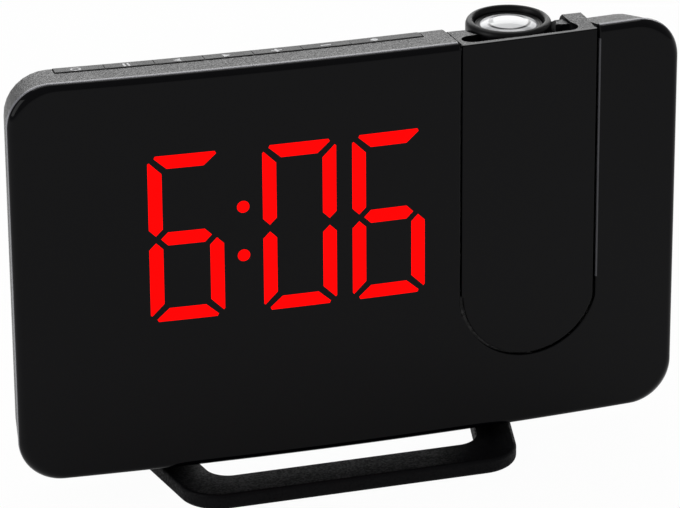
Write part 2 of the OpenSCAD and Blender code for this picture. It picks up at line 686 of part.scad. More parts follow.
arm_screw_z = [arm_axis_z + 9, body_h - 30];
arm_screw_x = 14;
module arm_housing() placed() color(BLACK_MATTE) difference() {
    intersection() {
        difference() {
            union() {
                difference() {
                    arm_form();
                    intersection() { arm_form(arm_wall); behind(arm_plate_t + arm_wall); }
                }
                // deck under the ring, with the guide tube through it
                intersection() {
                    arm_form();
                    box(arm_x - big / 2, arm_x + big / 2, -5, big / 4, well_z - deck_t, body_h + 1);
                }
                rod_z(ring_x, ring_y, guide_low, well_z, guide_r + guide_wall);
                guide_stub();
                for (z = arm_screw_z, s = [-1, 1]) rod_y(arm_x + s * arm_screw_x, z, 3.5, arm_split_y, 2.6);
            }
            difference() {
                ring_well();
                guide_stub();
            }
        }
        behind(arm_plate_t);
        union() {
            box(arm_x - big / 2, arm_x + big / 2, -5, arm_split_y, -big, big);
            box(arm_x - big / 2, arm_x + big / 2, -5, big / 4, well_z - deck_t, big);
            rod_z(ring_x, ring_y, guide_low, body_h, guide_r + guide_wall);
        }
    }
    rod_z(ring_x, ring_y, guide_low - 1, body_h, guide_r);
    for (z = arm_screw_z, s = [-1, 1]) rod_y(arm_x + s * arm_screw_x, z, 6, big / 4, 1);
    for (s = [-1, 1]) rod_x(arm_x + s * (arm_half - arm_wall / 2) - arm_wall, arm_x + s * (arm_half - arm_wall / 2) + arm_wall,
                            arm_axis_y, arm_axis_z, arm_pin_r + pin_clear);
}

// The stub that the focus ring turns on.
module guide_stub() rod_z(ring_x, ring_y, well_z - 1, guide_top, ring_mouth_r - 0.08);

module arm_back() placed() color(BLACK_MATTE) difference() {
    intersection() {
        difference() {
            arm_form();
            difference() {
                arm_form(arm_wall);
                for (z = arm_screw_z, s = [-1, 1]) rod_y(arm_x + s * arm_screw_x, z, 4, big / 4, 2.6);
            }
        }
        box(arm_x - big / 2, arm_x + big / 2, arm_split_y, big / 4, -big, well_z - deck_t);
    }
    for (z = arm_screw_z, s = [-1, 1]) {
        rod_y(arm_x + s * arm_screw_x, z, 6, big / 4, 1.2);
        rod_y(arm_x + s * arm_screw_x, z, arm_back_y - 2.6, big / 4, 2.2);
    }
}

module arm_screws() placed() color(STEEL) for (z = arm_screw_z, s = [-1, 1])
    screw_y(arm_x + s * arm_screw_x, z, arm_split_y - 8, arm_back_y - 2.6, 1, 2, 1.3);

// Stepped pins from the casing into the arm, bored for the lead.
module arm_pivots() placed() color(GREY_MATTE) for (s = [-1, 1]) let (cheek = arm_half + arm_gap)
    translate([arm_x, arm_axis_y, arm_axis_z]) rotate([0, s * 90, 0]) difference() {
        union() {
            translate([0, 0, arm_half - arm_wall - 1.6]) cylinder(r = arm_pin_r, h = arm_wall + 1.6 + arm_gap + wall + eps);
            translate([0, 0, cheek + wall]) cylinder(r = arm_pin_r + 2, h = 1.5);
        }
        translate([0, 0, arm_half - arm_wall - 3]) cylinder(r = arm_pin_r - 1.5, h = 12);
    }

module pivot_clips() placed() color(STEEL) for (s = [-1, 1])
    translate([arm_x, arm_axis_y, arm_axis_z]) rotate([0, s * 90, 0]) difference() {
        translate([0, 0, arm_half - arm_wall - 1.2]) cylinder(r = arm_pin_r + 1.8, h = 0.8);
        translate([0, 0, arm_half - arm_wall - 3]) cylinder(r = arm_pin_r, h = 4);
    }

// ---------- focus ring, lens and light path ----------

module turn_at_ring() translate([ring_x, ring_y, 0]) rotate_extrude($fn = 96) children();

module focus_ring() placed() color(GREY_MATTE) difference() {
    turn_at_ring() polygon([[ring_r, ring_z], [ring_r, ring_top - 1.4], [ring_r - 0.25, ring_top - 0.7],
        [ring_r - 0.7, ring_top - 0.2], [ring_r - 1.3, ring_top], [ring_mouth_r + 0.5, ring_top - 0.1],
        [ring_mouth_r + 0.15, ring_top - 0.5], [ring_mouth_r, ring_top - 1.1], [ring_mouth_r, ring_z]]);
    // finger grooves round the lower half
    for (k = [0:35]) rotate_at_ring(k * 10) translate([ring_r + 0.35, 0, ring_z - 1]) cylinder(r = 0.75, h = 4.6, $fn = 16);
}
module rotate_at_ring(a) translate([ring_x, ring_y, 0]) rotate([0, 0, a]) children();

module lens_carrier() placed() color(BLACK_MATTE) turn_at_ring() polygon([
    [guide_r - 0.08, guide_low + 2], [guide_r - 0.08, carrier_head_z], [carrier_head_r, carrier_head_z],
    [carrier_head_r, carrier_top], [lens_r, carrier_top], [lens_r, carrier_head_z + 1],
    [guide_r - 1.5, carrier_head_z + 1], [guide_r - 1.5, guide_low + 2]]);

lens_edge_t = 1.6;
lens_z = carrier_head_z + 1;
lens_bulge = 0.8;
lens_face_r = lens_r - 0.85;
lens_curve = (lens_face_r * lens_face_r + lens_bulge * lens_bulge) / (2 * lens_bulge);
module projector_lens() placed() color(LENS) {
    rod_z(ring_x, ring_y, lens_z, lens_z + lens_edge_t, lens_r);
    intersection() {
        rod_z(ring_x, ring_y, lens_z + lens_edge_t, body_h + 5, lens_face_r);
        translate([ring_x, ring_y, lens_z + lens_edge_t + lens_bulge - lens_curve]) sphere(r = lens_curve, $fn = 128);
    }
}
module lens_clip() placed() color(GREY_MATTE) difference() {
    rod_z(ring_x, ring_y, lens_z + lens_edge_t, carrier_top, lens_r);
    rod_z(ring_x, ring_y, lens_z, body_h + 5, lens_r - 0.8);
}

tube_r = guide_r + guide_wall;
module optics_tube() placed() color(BLACK_MATTE) difference() {
    rod_z(ring_x, ring_y, tube_low, guide_low, tube_r);
    rod_z(ring_x, ring_y, tube_low - 1, guide_low + 1, guide_r - 0.6);
    rod_z(ring_x, ring_y, tube_low - 1, tube_low + 6, guide_r);
    box(ring_x - big, ring_x + big, ring_y - 6, ring_y + 6, slide_z, slide_z + 1.2);
}
slide_z = tube_low + 20;
slide_half = [10.5, 5.9];
board_half = [11, 9.5];
module image_slide() placed() color("#5a4a2a")
    box(ring_x - slide_half[0], ring_x + slide_half[0], ring_y - slide_half[1], ring_y + slide_half[1],
        slide_z + 0.05, slide_z + 1.15);
module condenser_lens() placed() color(LENS) {
    rod_z(ring_x, ring_y, tube_low + 4, tube_low + 6, guide_r);
}
module projector_board() placed() color(PCB_GREEN)
    box(ring_x - board_half[0], ring_x + board_half[0], ring_y - board_half[1], ring_y + board_half[1],
        tube_low - board_t, tube_low);
module projector_led() placed() color("#f4f0d8") {
    box(ring_x - 2.5, ring_x + 2.5, ring_y - 2.5, ring_y + 2.5, tube_low, tube_low + 1);
    intersection() {
        translate([ring_x, ring_y, tube_low + 1]) sphere(r = 2);
        box(ring_x - 3, ring_x + 3, ring_y - 3, ring_y + 3, tube_low + 1, tube_low + 4);
    }
}

// ---------- stand ----------

// Plan outline of the loop: a straight front bar, rounded corners, legs that spread to the back.
spread = 11.4;                               // angle of the legs' front part
spread_end = 22;                             // depth where the legs run straight
outer_r = 11.5;
inner_r = 6.5;
function loop_half(front, half, r, back) =
    let (yc = front + r, xc = half + ((yc - spread_end) * sin(spread) - r) / cos(spread))
    concat([for (k = [0:10]) let (a = -90 + (90 - spread) * k / 10) [xc + r * cos(a), yc + r * sin(a)]],
           [[half, spread_end], [half, back]]);
function loop_pts(front, half, r, back) = let (h = loop_half(front, half, r, back))
    concat(h, [for (i = [len(h) - 1:-1:0]) [-h[i][0], h[i][1]]]);

// The loop's outer form: rounded along its upper edge, undercut along its lower edge.
module loop_solid() {
    z1 = stand_z0 + stand_t;
    rings = [[stand_z0, 1.3], [stand_z0 + 1.3, 0], [z1 - 1, 0], [z1 - 0.3, 0.35], [z1, 1.2]];
    plans = [for (r = rings) loop_pts(-stand_reach + r[1], stand_half_w - r[1], outer_r - r[1], stand_axis_y)];
    n = len(plans[0]);
    m = len(rings);
    pts = [for (i = [0:m - 1], p = plans[i]) [p[0], p[1], rings[i][0]]];
    sides = [for (i = [0:m - 2], j = [0:n - 1]) let (k = (j + 1) % n)
        each [[i * n + j, (i + 1) * n + k, i * n + k], [i * n + j, (i + 1) * n + j, (i + 1) * n + k]]];
    polyhedron(pts, concat([[for (j = [0:n - 1]) j]], sides, [[for (j = [0:n - 1]) m * n - 1 - j]]), convexity = 4);
}

stand_z0 = pad_proud - body_lift;             // underside of the stand
module stand() placed() translate([stand_x, 0, 0]) color(BLACK_MATTE) difference() {
    union() {
        difference() {
            loop_solid();
            translate([0, 0, stand_z0 - 1]) linear_extrude(stand_t + 2)
                polygon(loop_pts(-stand_reach + bar_w, stand_half_w - leg_w, inner_r, stand_axis_y + 5));
        }
        for (s = [-1, 1]) rod_x(s * (stand_half_w - knuckle_half) - knuckle_half, s * (stand_half_w - knuckle_half) + knuckle_half,
                                stand_axis_y, knuckle_z, knuckle_r);
    }
    for (s = [-1, 1]) rod_x(s * (stand_half_w - knuckle_half) - leg_w, s * (stand_half_w - knuckle_half) + leg_w,
                            stand_axis_y, knuckle_z, stand_pin_r + pin_clear);
    for (p = pad_at) translate([p[0], p[1], stand_z0 - 1]) linear_extrude(1.8) pad_plan(p[2], 0.05);
}

pad_at = [[0, -stand_reach + bar_w / 2, 60], [-stand_half_w + leg_w / 2 + 0.3, 19.5, 6.4], [stand_half_w - leg_w / 2 - 0.3, 19.5, 6.4]];
module pad_plan(len, grow = 0) {
    w = 5;
    square([len - w + 2 * grow, w + 2 * grow], center = true);
    for (s = [-1, 1]) translate([s * (len - w) / 2, 0]) circle(d = w + 2 * grow, $fn = 32);
}
module stand_pads() placed() translate([stand_x, 0, 0]) color(RUBBER)
    for (p = pad_at) translate([p[0], p[1], -body_lift]) linear_extrude(pad_proud + 0.8) pad_plan(p[2]);

module stand_pins() placed() color(STEEL) for (s = [-1, 1])
    let (x = stand_x + s * (stand_half_w - knuckle_half), half = knuckle_half + lug_gap + lug_t)
        rod_x(x - half, x + half, stand_axis_y, knuckle_z, stand_pin_r);

front_panel();
front_shell();
rear_shell();
hinge_lugs();
case_screws();
lit_segments();
unlit_segments();
segment_frame();
display_board();
display_leds();
main_board();
main_chip();
smoothing_capacitor();
clock_crystal();
speaker();
key_board();
key_switches();
dc_jack();
usb_port();
backup_cell();
cell_contacts();
cell_door();
cell_door_screw();
key_1();
key_2();
key_3();
key_4();
key_5();
key_6();
key_7();
arm_plate();
arm_housing();
arm_back();
arm_screws();
arm_pivots();
pivot_clips();
focus_ring();
lens_carrier();
projector_lens();
lens_clip();
optics_tube();
condenser_lens();
image_slide();
projector_board();
projector_led();
stand();
stand_pins();
stand_pads();
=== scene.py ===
"""A projection alarm clock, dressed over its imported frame."""

import json
import logging
import math
from dataclasses import dataclass, field
from enum import Enum
from typing import Any, Callable, Dict, List, Optional, Sequence, Tuple

import bmesh
import bpy
import numpy as np
from mathutils import Matrix, Vector


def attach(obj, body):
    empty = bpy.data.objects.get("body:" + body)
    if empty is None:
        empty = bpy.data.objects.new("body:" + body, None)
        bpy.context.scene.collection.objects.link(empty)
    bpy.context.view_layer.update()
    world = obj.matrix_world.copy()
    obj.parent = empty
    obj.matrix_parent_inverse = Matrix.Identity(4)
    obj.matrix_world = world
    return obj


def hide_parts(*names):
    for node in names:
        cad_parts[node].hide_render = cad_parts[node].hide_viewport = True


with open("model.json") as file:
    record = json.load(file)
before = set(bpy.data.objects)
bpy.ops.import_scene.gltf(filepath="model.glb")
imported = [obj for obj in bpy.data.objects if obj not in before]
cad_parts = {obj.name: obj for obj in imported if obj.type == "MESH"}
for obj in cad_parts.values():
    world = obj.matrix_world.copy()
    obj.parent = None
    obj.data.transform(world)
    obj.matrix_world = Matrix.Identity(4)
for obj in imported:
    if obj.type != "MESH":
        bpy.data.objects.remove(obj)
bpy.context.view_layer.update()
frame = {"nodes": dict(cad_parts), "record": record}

log = logging.getLogger("clock")
MM = 0.001
# Shift from the clock's own millimetres to the frame's, and the frame's axis and radius of the lens, in metres.
ROW_SHIFT = np.array([0.0, -12.3, 9.1])
LENS_AXIS = (0.0484, 0.0034)
LENS_R = 0.00795
# A face follows a known surface when its corners lie this near, in millimetres, and face this much alike.
NEAR, ALIKE = 0.12, 0.93
# A row of points, or a surface's normals, with the array that goes with it.
Row = Tuple[np.ndarray, np.ndarray]


# ---------------------------------------------------------------- shared tools

def linear(code: str) -> Tuple[float, float, float, float]:
    """Turns an sRGB hex colour to linear light.

    Args:
        code: Six hex digits with a leading hash sign.

    Returns:
        Red, green and blue, each from 0 to 1, and full opacity.
    """
    parts = [int(code[i:i + 2], 16) / 255 for i in (1, 3, 5)]
    return tuple(c / 12.92 if c <= 0.04045 else ((c + 0.055) / 1.055) ** 2.4 for c in parts) + (1.0,)


def add_node(tree: bpy.types.NodeTree, kind: str, settings: Optional[Dict[str, Any]] = None,
             links: Optional[Dict[Any, bpy.types.NodeSocket]] = None) -> bpy.types.Node:
    """Adds one shader node with its settings and incoming links.

    Args:
        tree: The material's node tree.
        kind: The node's type name.
        settings: Node attributes, or input sockets by name or number, with their values.
        links: Input sockets by name or number, with the output that feeds each.

    Returns:
        The new node.
    """
    node = tree.nodes.new(kind)
    for key, value in (settings or {}).items():
        if isinstance(key, int) or key in node.inputs:
            node.inputs[key].default_value = value
        else:
            setattr(node, key, value)
    for key, source in (links or {}).items():
        tree.links.new(source, node.inputs[key])
    return node


def mesh_object(name: str, verts: np.ndarray, faces: Sequence[Sequence[int]],
                normals: Optional[np.ndarray] = None) -> bpy.types.Object:
    """Makes a smooth-shaded mesh object at the origin.

    Args:
        name: The piece's name.
        verts: Points in metres, shape (n, 3).
        faces: Vertex numbers of each face, outward by the right-hand rule.
        normals: Shading normals for the points, or None to let them follow the faces.

    Returns:
        The linked object.
    """
    mesh = bpy.data.meshes.new(name)
    mesh.from_pydata(verts.tolist(), [], [list(map(int, f)) for f in faces])
    mesh.polygons.foreach_set("use_smooth", np.ones(len(mesh.polygons), bool))
    mesh.update()
    if normals is not None:
        mesh.normals_split_custom_set_from_vertices(normals.tolist())
    obj = bpy.data.objects.new(name, mesh)
    bpy.context.scene.collection.objects.link(obj)
    return obj


def grid_faces(rows: int, cols: int, wrap: bool = False, flip: bool = False, start: int = 0) -> np.ndarray:
    """Numbers the quads of a grid of points stored row by row.

    Args:
        rows: Points along the first parameter.
        cols: Points along the second parameter.
        wrap: Whether the second parameter closes on itself.
        flip: Whether the quads turn the other way round.
        start: Number of the grid's first point.

    Returns:
        Quads as an array of shape (n, 4).
    """
    i, j = np.meshgrid(np.arange(rows - 1), np.arange(cols if wrap else cols - 1), indexing="ij")
    k = (j + 1) % cols
    quads = np.stack([i * cols + j, i * cols + k, (i + 1) * cols + k, (i + 1) * cols + j], -1).reshape(-1, 4)
    return (quads[:, ::-1] if flip else quads) + start


def placed(points: np.ndarray) -> np.ndarray:
    """Moves points from the clock's own millimetres to the row frame in metres.

    Args:
        points: Points with x from the clock's middle, y from the face's front and z from the casing's foot.

    Returns:
        The same points in metres, shifted to where the frame stands.
    """
    return (points + ROW_SHIFT) * MM


def unit(vectors: np.ndarray) -> np.ndarray:
    """Scales each vector to length one."""
    return vectors / np.maximum(np.linalg.norm(vectors, axis=-1, keepdims=True), 1e-12)


def read(items: Any, name: str, width: int = 1, kind: Any = float) -> np.ndarray:
    """Reads one attribute of every item in a mesh's collection.

    Args:
        items: The mesh's vertices, loops, polygons or corner normals.
        name: The attribute.
        width: Numbers per item.
        kind: The numbers' type.

    Returns:
        An array of shape (n,), or (n, width) where each item has several numbers.
    """
    values = np.empty(len(items) * width, kind)
    items.foreach_get(name, values)
    return values.reshape(-1, width) if width > 1 else values


@dataclass
class Patches:
    """Collects several grids of points into one smooth mesh."""

    verts: List[np.ndarray] = field(default_factory=list)
    normals: List[np.ndarray] = field(default_factory=list)
    faces: List[np.ndarray] = field(default_factory=list)
    count: int = 0

    def add(self, points: np.ndarray, normals: np.ndarray, wrap: bool = False) -> None:
        """Adds a grid, turned so that its faces look the way its normals do.

        Args:
            points: Clock-frame points in millimetres, shape (rows, cols, 3).
            normals: Shading normals, same shape.
            wrap: Whether the columns close on themselves.
        """
        rows, cols = points.shape[:2]
        along = points[1:, :-1] - points[:-1, :-1]
        across = points[:-1, 1:] - points[:-1, :-1]
        flip = float(np.sum(np.cross(across, along) * normals[:-1, :-1])) < 0
        self.faces.append(grid_faces(rows, cols, wrap, flip, self.count))
        self.verts.append(placed(points.reshape(-1, 3)))
        self.normals.append(unit(normals.reshape(-1, 3)))
        self.count += rows * cols

    def band(self, rows: List[Row], wrap: bool = False) -> None:
        """Adds rows of points, each with its normals, as one grid."""
        self.add(np.stack([r[0] for r in rows]), np.stack([r[1] for r in rows]), wrap)

    def turn(self, profile: np.ndarray, centre: Tuple[float, float], steps: int = 128) -> None:
        """Adds a surface of revolution about an upright axis.

        Each profile point (radius, height) is carried round the axis; its normal is the profile's
        tangent turned by a right angle, and carried round with it.

        Args:
            profile: Radius and height of each point, shape (n, 2), outer side on the left as it runs.
            centre: Where the axis stands, x and y.
            steps: Points round the axis.
        """
        tangent = unit(np.gradient(profile, axis=0))
        angle = np.linspace(0, 2 * np.pi, steps, endpoint=False)
        cos, sin = np.cos(angle)[None], np.sin(angle)[None]
        points = np.stack([centre[0] + profile[:, :1] * cos, centre[1] + profile[:, :1] * sin,
                           np.repeat(profile[:, 1:], steps, 1)], -1)
        normals = np.stack([tangent[:, 1:] * cos, tangent[:, 1:] * sin, -np.repeat(tangent[:, :1], steps, 1)], -1)
        self.add(points, normals, wrap=True)

    def build(self, name: str) -> bpy.types.Object:
        """Makes the mesh object from all grids added so far."""
        return mesh_object(name, np.concatenate(self.verts), np.concatenate(self.faces), np.concatenate(self.normals))


def install(obj: bpy.types.Object, finish: "Finish", slot: str, body: str, *nodes: str) -> bpy.types.Object:
    """Dresses a piece, sets it on its body and lets it stand for CAD nodes.

    Args:
        obj: The piece.
        finish: Its finish.
        slot: The record's material slot; not used.
        body: The CAD body that carries it.
        nodes: The nodes that it replaces, if any.

    Returns:
        The same piece.
    """
    obj.data.materials.clear()
    obj.data.materials.append(finish.material())
    if nodes:
        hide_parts(*nodes)
    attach(obj, body)
    log.info("%s: %d faces on %s", obj.name, len(obj.data.polygons), body)
    return obj


def follow(mesh: bpy.types.Mesh, shape: Callable[[np.ndarray], Row]) -> None:
    """Shades the faces that lie on a known curved surface with that surface's own normals.

    Args:
        mesh: The mesh to shade.
        shape: Gives normals and distances for points in clock millimetres.
    """
    corner = read(mesh.loops, "vertex_index", kind=np.int32)
    totals = read(mesh.polygons, "loop_total", kind=np.int32)
    owner = np.repeat(np.arange(len(totals)), totals)
    facing = read(mesh.polygons, "normal", 3)[owner]
    kept = read(mesh.corner_normals, "vector", 3)
    true, away = (found[corner] for found in shape(read(mesh.vertices, "co", 3) / MM - ROW_SHIFT))
    good = (away < NEAR) & (np.sum(true * facing, 1) > ALIKE)
    whole = np.bincount(owner, weights=good, minlength=len(totals)) == totals
    use = whole[owner]
    kept[use] = true[use]
    mesh.normals_split_custom_set(kept.tolist())


def level(mesh: bpy.types.Mesh, least_mm2: float = 200.0) -> None:
    """Shades each large flat region as flat, however its triangles meet the curves at its rim.

    Faces with the same normal and the same distance from the origin lie in one plane; where they add up to a
    large area, each of their corners takes that plane's normal.

    Args:
        mesh: The mesh to shade.
        least_mm2: Regions smaller than this, in square millimetres, stay as they are.
    """
    facing, middle = read(mesh.polygons, "normal", 3), read(mesh.polygons, "center", 3)
    away = np.sum(facing * middle, 1) / MM
    # Rounded to a two-hundredth in direction and a tenth of a millimetre in distance.
    plane = np.round(np.column_stack([facing * 200, away * 10])).astype(np.int64)
    group = np.unique(plane, axis=0, return_inverse=True)[1].reshape(-1)
    flat = np.bincount(group, weights=read(mesh.polygons, "area"))[group] > least_mm2 * MM * MM
    totals = read(mesh.polygons, "loop_total", kind=np.int32)
    kept = read(mesh.corner_normals, "vector", 3)
    use = np.repeat(flat, totals)
    kept[use] = np.repeat(facing, totals, axis=0)[use]
    mesh.normals_split_custom_set(kept.tolist())


def smooth_copy(node: str, finish: "Finish", slot: str, body: str, angle: float = 32.0,
                shift_mm: Tuple[float, float, float] = (0.0, 0.0, 0.0),
                shape: Optional[Callable[[np.ndarray], Row]] = None) -> bpy.types.Object:
    """Shows a CAD node through a merged copy, whose gentle facets are shaded as one curve.

    Args:
        node: The CAD node.
        finish: The copy's finish.
        slot: The record's material slot.
        body: The body that carries it.
        angle: Edges sharper than this many degrees stay crisp.
        shift_mm: How far the copy's points are moved.
        shape: A function that gives, for points in clock millimetres, the true surface's normals and
            how far each point lies from it; where a face lies on that surface, its shading follows it.

    Returns:
        The new piece.
    """
    source = frame["nodes"][node]
    work = bmesh.new()
    work.from_mesh(source.data)
    bmesh.ops.remove_doubles(work, verts=work.verts, dist=2e-6)
    bmesh.ops.dissolve_degenerate(work, edges=work.edges, dist=1e-6)
    bmesh.ops.translate(work, verts=work.verts, vec=Vector(shift_mm) * MM)
    mesh = bpy.data.meshes.new(node + "_skin")
    work.to_mesh(mesh)
    work.free()
    mesh.polygons.foreach_set("use_smooth", np.ones(len(mesh.polygons), bool))
    mesh.set_sharp_from_angle(angle=math.radians(angle))
    level(mesh)
    if shape is not None:
        follow(mesh, shape)
    obj = bpy.data.objects.new(node + "_skin", mesh)
    bpy.context.scene.collection.objects.link(obj)
    return install(obj, finish, slot, body, node)


# ---------------------------------------------------------------- finishes

class Grain(Enum):
    """How a surface's fine relief was made."""

    POLISHED = "polished"
    MOULDED = "spark-eroded mould grain"
    SATIN = "fine satin mould"
    BRUSHED = "brushed"
    GLOWING = "lit from behind"
    # Painted reflection and shade in rings on the lens, not fine relief.
    LENS = "polished dome with rings"


@dataclass(frozen=True)
class Finish:
    """One real surface finish: its colour, shine and fine relief."""

    title: str
    colour: str
    roughness: float
    grain: Grain
    grain_mm: float = 0.3
    relief: float = 0.0
    metallic: float = 0.0
    ior: float = 1.5
    specular: float = 0.5
    coat: float = 0.0
    glow: float = 0.0
    mottle: float = 0.06

    def material(self) -> bpy.types.Material:
        """Builds the finish once and returns the same material after that."""
        if self.title in bpy.data.materials:
            return bpy.data.materials[self.title]
        mat = bpy.data.materials.new(self.title)
        mat.use_nodes = True
        tree = mat.node_tree
        tree.nodes.clear()
        place = add_node(tree, "ShaderNodeTexCoord")
        rgba = linear(self.colour)
        shader = add_node(tree, "ShaderNodeBsdfPrincipled", {
            "Base Color": rgba, "Roughness": self.roughness, "Metallic": self.metallic, "IOR": self.ior,
            "Specular IOR Level": self.specular, "Coat Weight": self.coat, "Coat Roughness": 0.05})
        if self.glow:
            shader.inputs["Emission Color"].default_value = rgba
            shader.inputs["Emission Strength"].default_value = self.glow
        self._tone(tree, place, shader, rgba)
        self._relief(tree, place, shader)
        add_node(tree, "ShaderNodeOutputMaterial", links={"Surface": shader.outputs[0]})
        return mat

    def _tone(self, tree: bpy.types.NodeTree, place: bpy.types.Node, shader: bpy.types.Node,
              rgba: Tuple[float, ...]) -> None:
        """Varies colour and shine a little over patches about a centimetre across."""
        if self.grain is Grain.GLOWING:
            self._glow(tree, place, shader)
            return
        # The lens gets painted reflection and shade in rings in place of a mottle.
        if self.grain is Grain.LENS:
            self._painted_lens_light(tree, place, shader, rgba)
            return
        cloud = add_node(tree, "ShaderNodeTexNoise", {"Scale": 90.0, "Detail": 3.0},
                         {"Vector": place.outputs["Object"]})
        low = tuple(c * (1 - self.mottle) for c in rgba[:3]) + (1.0,)
        high = tuple(min(1.0, c * (1 + self.mottle)) for c in rgba[:3]) + (1.0,)
        ramp = add_node(tree, "ShaderNodeValToRGB", links={"Fac": cloud.outputs["Fac"]})
        ramp.color_ramp.elements[0].position, ramp.color_ramp.elements[1].position = 0.35, 0.65
        ramp.color_ramp.elements[0].color, ramp.color_ramp.elements[1].color = low, high
        tree.links.new(ramp.outputs["Color"], shader.inputs["Base Color"])
        spread = add_node(tree, "ShaderNodeMapRange", {
            "From Min": 0.3, "From Max": 0.7, "To Min": self.roughness * 0.92,
            "To Max": min(1.0, self.roughness * 1.08)}, {"Value": cloud.outputs["Fac"]})
        if self.grain is not Grain.MOULDED:
            tree.links.new(spread.outputs[0], shader.inputs["Roughness"])
            return
        speck = add_node(tree, "ShaderNodeTexNoise", {"Scale": 1.0 / (self.grain_mm * MM), "Detail": 1.0},
                         {"Vector": place.outputs["Object"]})
        rub = add_node(tree, "ShaderNodeMapRange", {
            "From Min": 0.35, "From Max": 0.65, "To Min": -0.3 * self.roughness, "To Max": 0.45 * self.roughness},
            {"Value": speck.outputs["Fac"]})
        total = add_node(tree, "ShaderNodeMath", {"operation": "ADD", "use_clamp": True},
                         {0: spread.outputs[0], 1: rub.outputs[0]})
        tree.links.new(total.outputs[0], shader.inputs["Roughness"])

    def _glow(self, tree: bpy.types.NodeTree, place: bpy.types.Node, shader: bpy.types.Node) -> None:
        """Lets the light behind the window vary a little, in patches about 6 mm across."""
        cloud = add_node(tree, "ShaderNodeTexNoise", {"Scale": 160.0, "Detail": 2.0},
                         {"Vector": place.outputs["Object"]})
        level = add_node(tree, "ShaderNodeMapRange", {
            "From Min": 0.3, "From Max": 0.7, "To Min": self.glow * 0.94, "To Max": self.glow * 1.06},
            {"Value": cloud.outputs["Fac"]})
        tree.links.new(level.outputs[0], shader.inputs["Emission Strength"])

    def _painted_lens_light(self, tree: bpy.types.NodeTree, place: bpy.types.Node, shader: bpy.types.Node,
               rgba: Tuple[float, ...]) -> None:
        """Paints reflection and shade on the lens as rings: its colour follows the distance from the lens's upright
        axis, with other rings on its near half than on its far half.
        """
        shift = {"Location": (-LENS_AXIS[0], -LENS_AXIS[1], 0.0), "Scale": (1.0, 1.0, 0.0)}
        centred = add_node(tree, "ShaderNodeMapping", shift, {"Vector": place.outputs["Object"]})
        back = add_node(tree, "ShaderNodeSeparateXYZ", links={0: centred.outputs[0]})
        reach = add_node(tree, "ShaderNodeVectorMath", {"operation": "LENGTH"}, {0: centred.outputs[0]})
        share = add_node(tree, "ShaderNodeMath", {"operation": "DIVIDE", 1: LENS_R}, {0: reach.outputs["Value"]})
        far = self._ramp(tree, share, [(0.0, rgba), (0.50, rgba), (0.56, linear("#8f9093")), (0.66, linear("#a9aaad")),
                                       (0.72, rgba), (0.96, rgba), (1.0, linear("#9a9b9e"))])
        near = self._ramp(tree, share, [(0.0, rgba), (0.66, rgba), (0.70, linear("#3c3d40")),
                                        (0.74, linear("#3c3d40")), (0.79, linear("#e2e3e5")), (1.0, linear("#b6b7ba"))])
        half = add_node(tree, "ShaderNodeMapRange", {"From Min": -0.0008, "From Max": 0.0008},
                        {"Value": back.outputs["Y"]})
        mix = add_node(tree, "ShaderNodeMix", {"data_type": "RGBA"},
                       {0: half.outputs[0], 6: near.outputs["Color"], 7: far.outputs["Color"]})
        tree.links.new(mix.outputs[2], shader.inputs["Base Color"])

    def _ramp(self, tree: bpy.types.NodeTree, source: bpy.types.Node,
              stops: List[Tuple[float, Tuple[float, ...]]]) -> bpy.types.Node:
        """Adds a colour ramp with the given stops, fed by a node's first output."""
        ramp = add_node(tree, "ShaderNodeValToRGB", links={"Fac": source.outputs[0]})
        for spot, colour in stops[1:-1]:
            ramp.color_ramp.elements.new(spot).color = colour
        ramp.color_ramp.elements[0].color = stops[0][1]
        ramp.color_ramp.elements[len(stops) - 1].color = stops[-1][1]
        return ramp

    def _relief(self, tree: bpy.types.NodeTree, place: bpy.types.Node, shader: bpy.types.Node) -> None:
        """Adds the fine relief that the mould or the brush left."""
        if self.grain not in (Grain.MOULDED, Grain.SATIN, Grain.BRUSHED) or not self.relief:
            return
        scale = 1.0 / (self.grain_mm * MM)
        source = place.outputs["Object"]
        if self.grain is Grain.BRUSHED:
            source = add_node(tree, "ShaderNodeMapping", {"Scale": (1.0, 0.04, 1.0)}, {"Vector": source}).outputs[0]
        noise = add_node(tree, "ShaderNodeTexNoise", {"Scale": scale, "Detail": 2.0}, {"Vector": source})
        bump = add_node(tree, "ShaderNodeBump", {"Strength": self.relief, "Distance": 0.4 * self.grain_mm * MM},
                        {"Height": noise.outputs["Fac"]})
        tree.links.new(bump.outputs["Normal"], shader.inputs["Normal"])


# Black acrylic with a clear-coat gloss, moulded against a polished tool: deep black with a faint, sharp reflection.
GLOSS_BLACK = Finish("acrylic_gloss_black", "#060609", 0.08, Grain.POLISHED, specular=0.14, mottle=0.03)
# Black ABS from a spark-eroded mould: a dull, grainy sheen that brightens at low angles.
MATTE_BLACK = Finish("abs_moulded_black", "#0c0c0f", 0.36, Grain.MOULDED, 0.6, 1.0)
# The same moulding down in the arm's well and slot, painted darker and duller: painted shade for the recess, where
# little light reaches.
RECESS_PAINTED_SHADE = Finish("abs_recess_painted_shade", "#050506", 0.6, Grain.SATIN, 0.4, 0.2, specular=0.12)
# Black nylon of the loop stand, duller than the case: it mirrors little of what stands over it.
STAND_BLACK = Finish("nylon_moulded_black", "#09090c", 0.5, Grain.MOULDED, 0.6, 0.25, specular=0.12)
# Black ABS keys, finer in the mould and a little worn by fingers.
KEY_BLACK = Finish("abs_satin_black_keys", "#0a0a0c", 0.4, Grain.SATIN, 0.4, 0.3, specular=0.25)
# Black nylon of the ring and its carrier: smooth, with soft highlights.
RING_BLACK = Finish("nylon_satin_black", "#08080a", 0.36, Grain.SATIN, 0.3, 0.15, specular=0.22)
# Grey pad-printed ink of the key marks: thin and slightly uneven.
PRINT_GREY = Finish("pad_print_grey", "#e4e4e6", 0.6, Grain.SATIN, 0.25, 0.2, mottle=0.1)
# Right edge of the notch, paler than the face: the paler colour is a painted highlight of the light from the left.
NOTCH_PAINTED_HIGHLIGHT = Finish("acrylic_notch_painted_highlight", "#4e4e53", 0.3, Grain.SATIN, 0.4, 0.1, mottle=0.08)
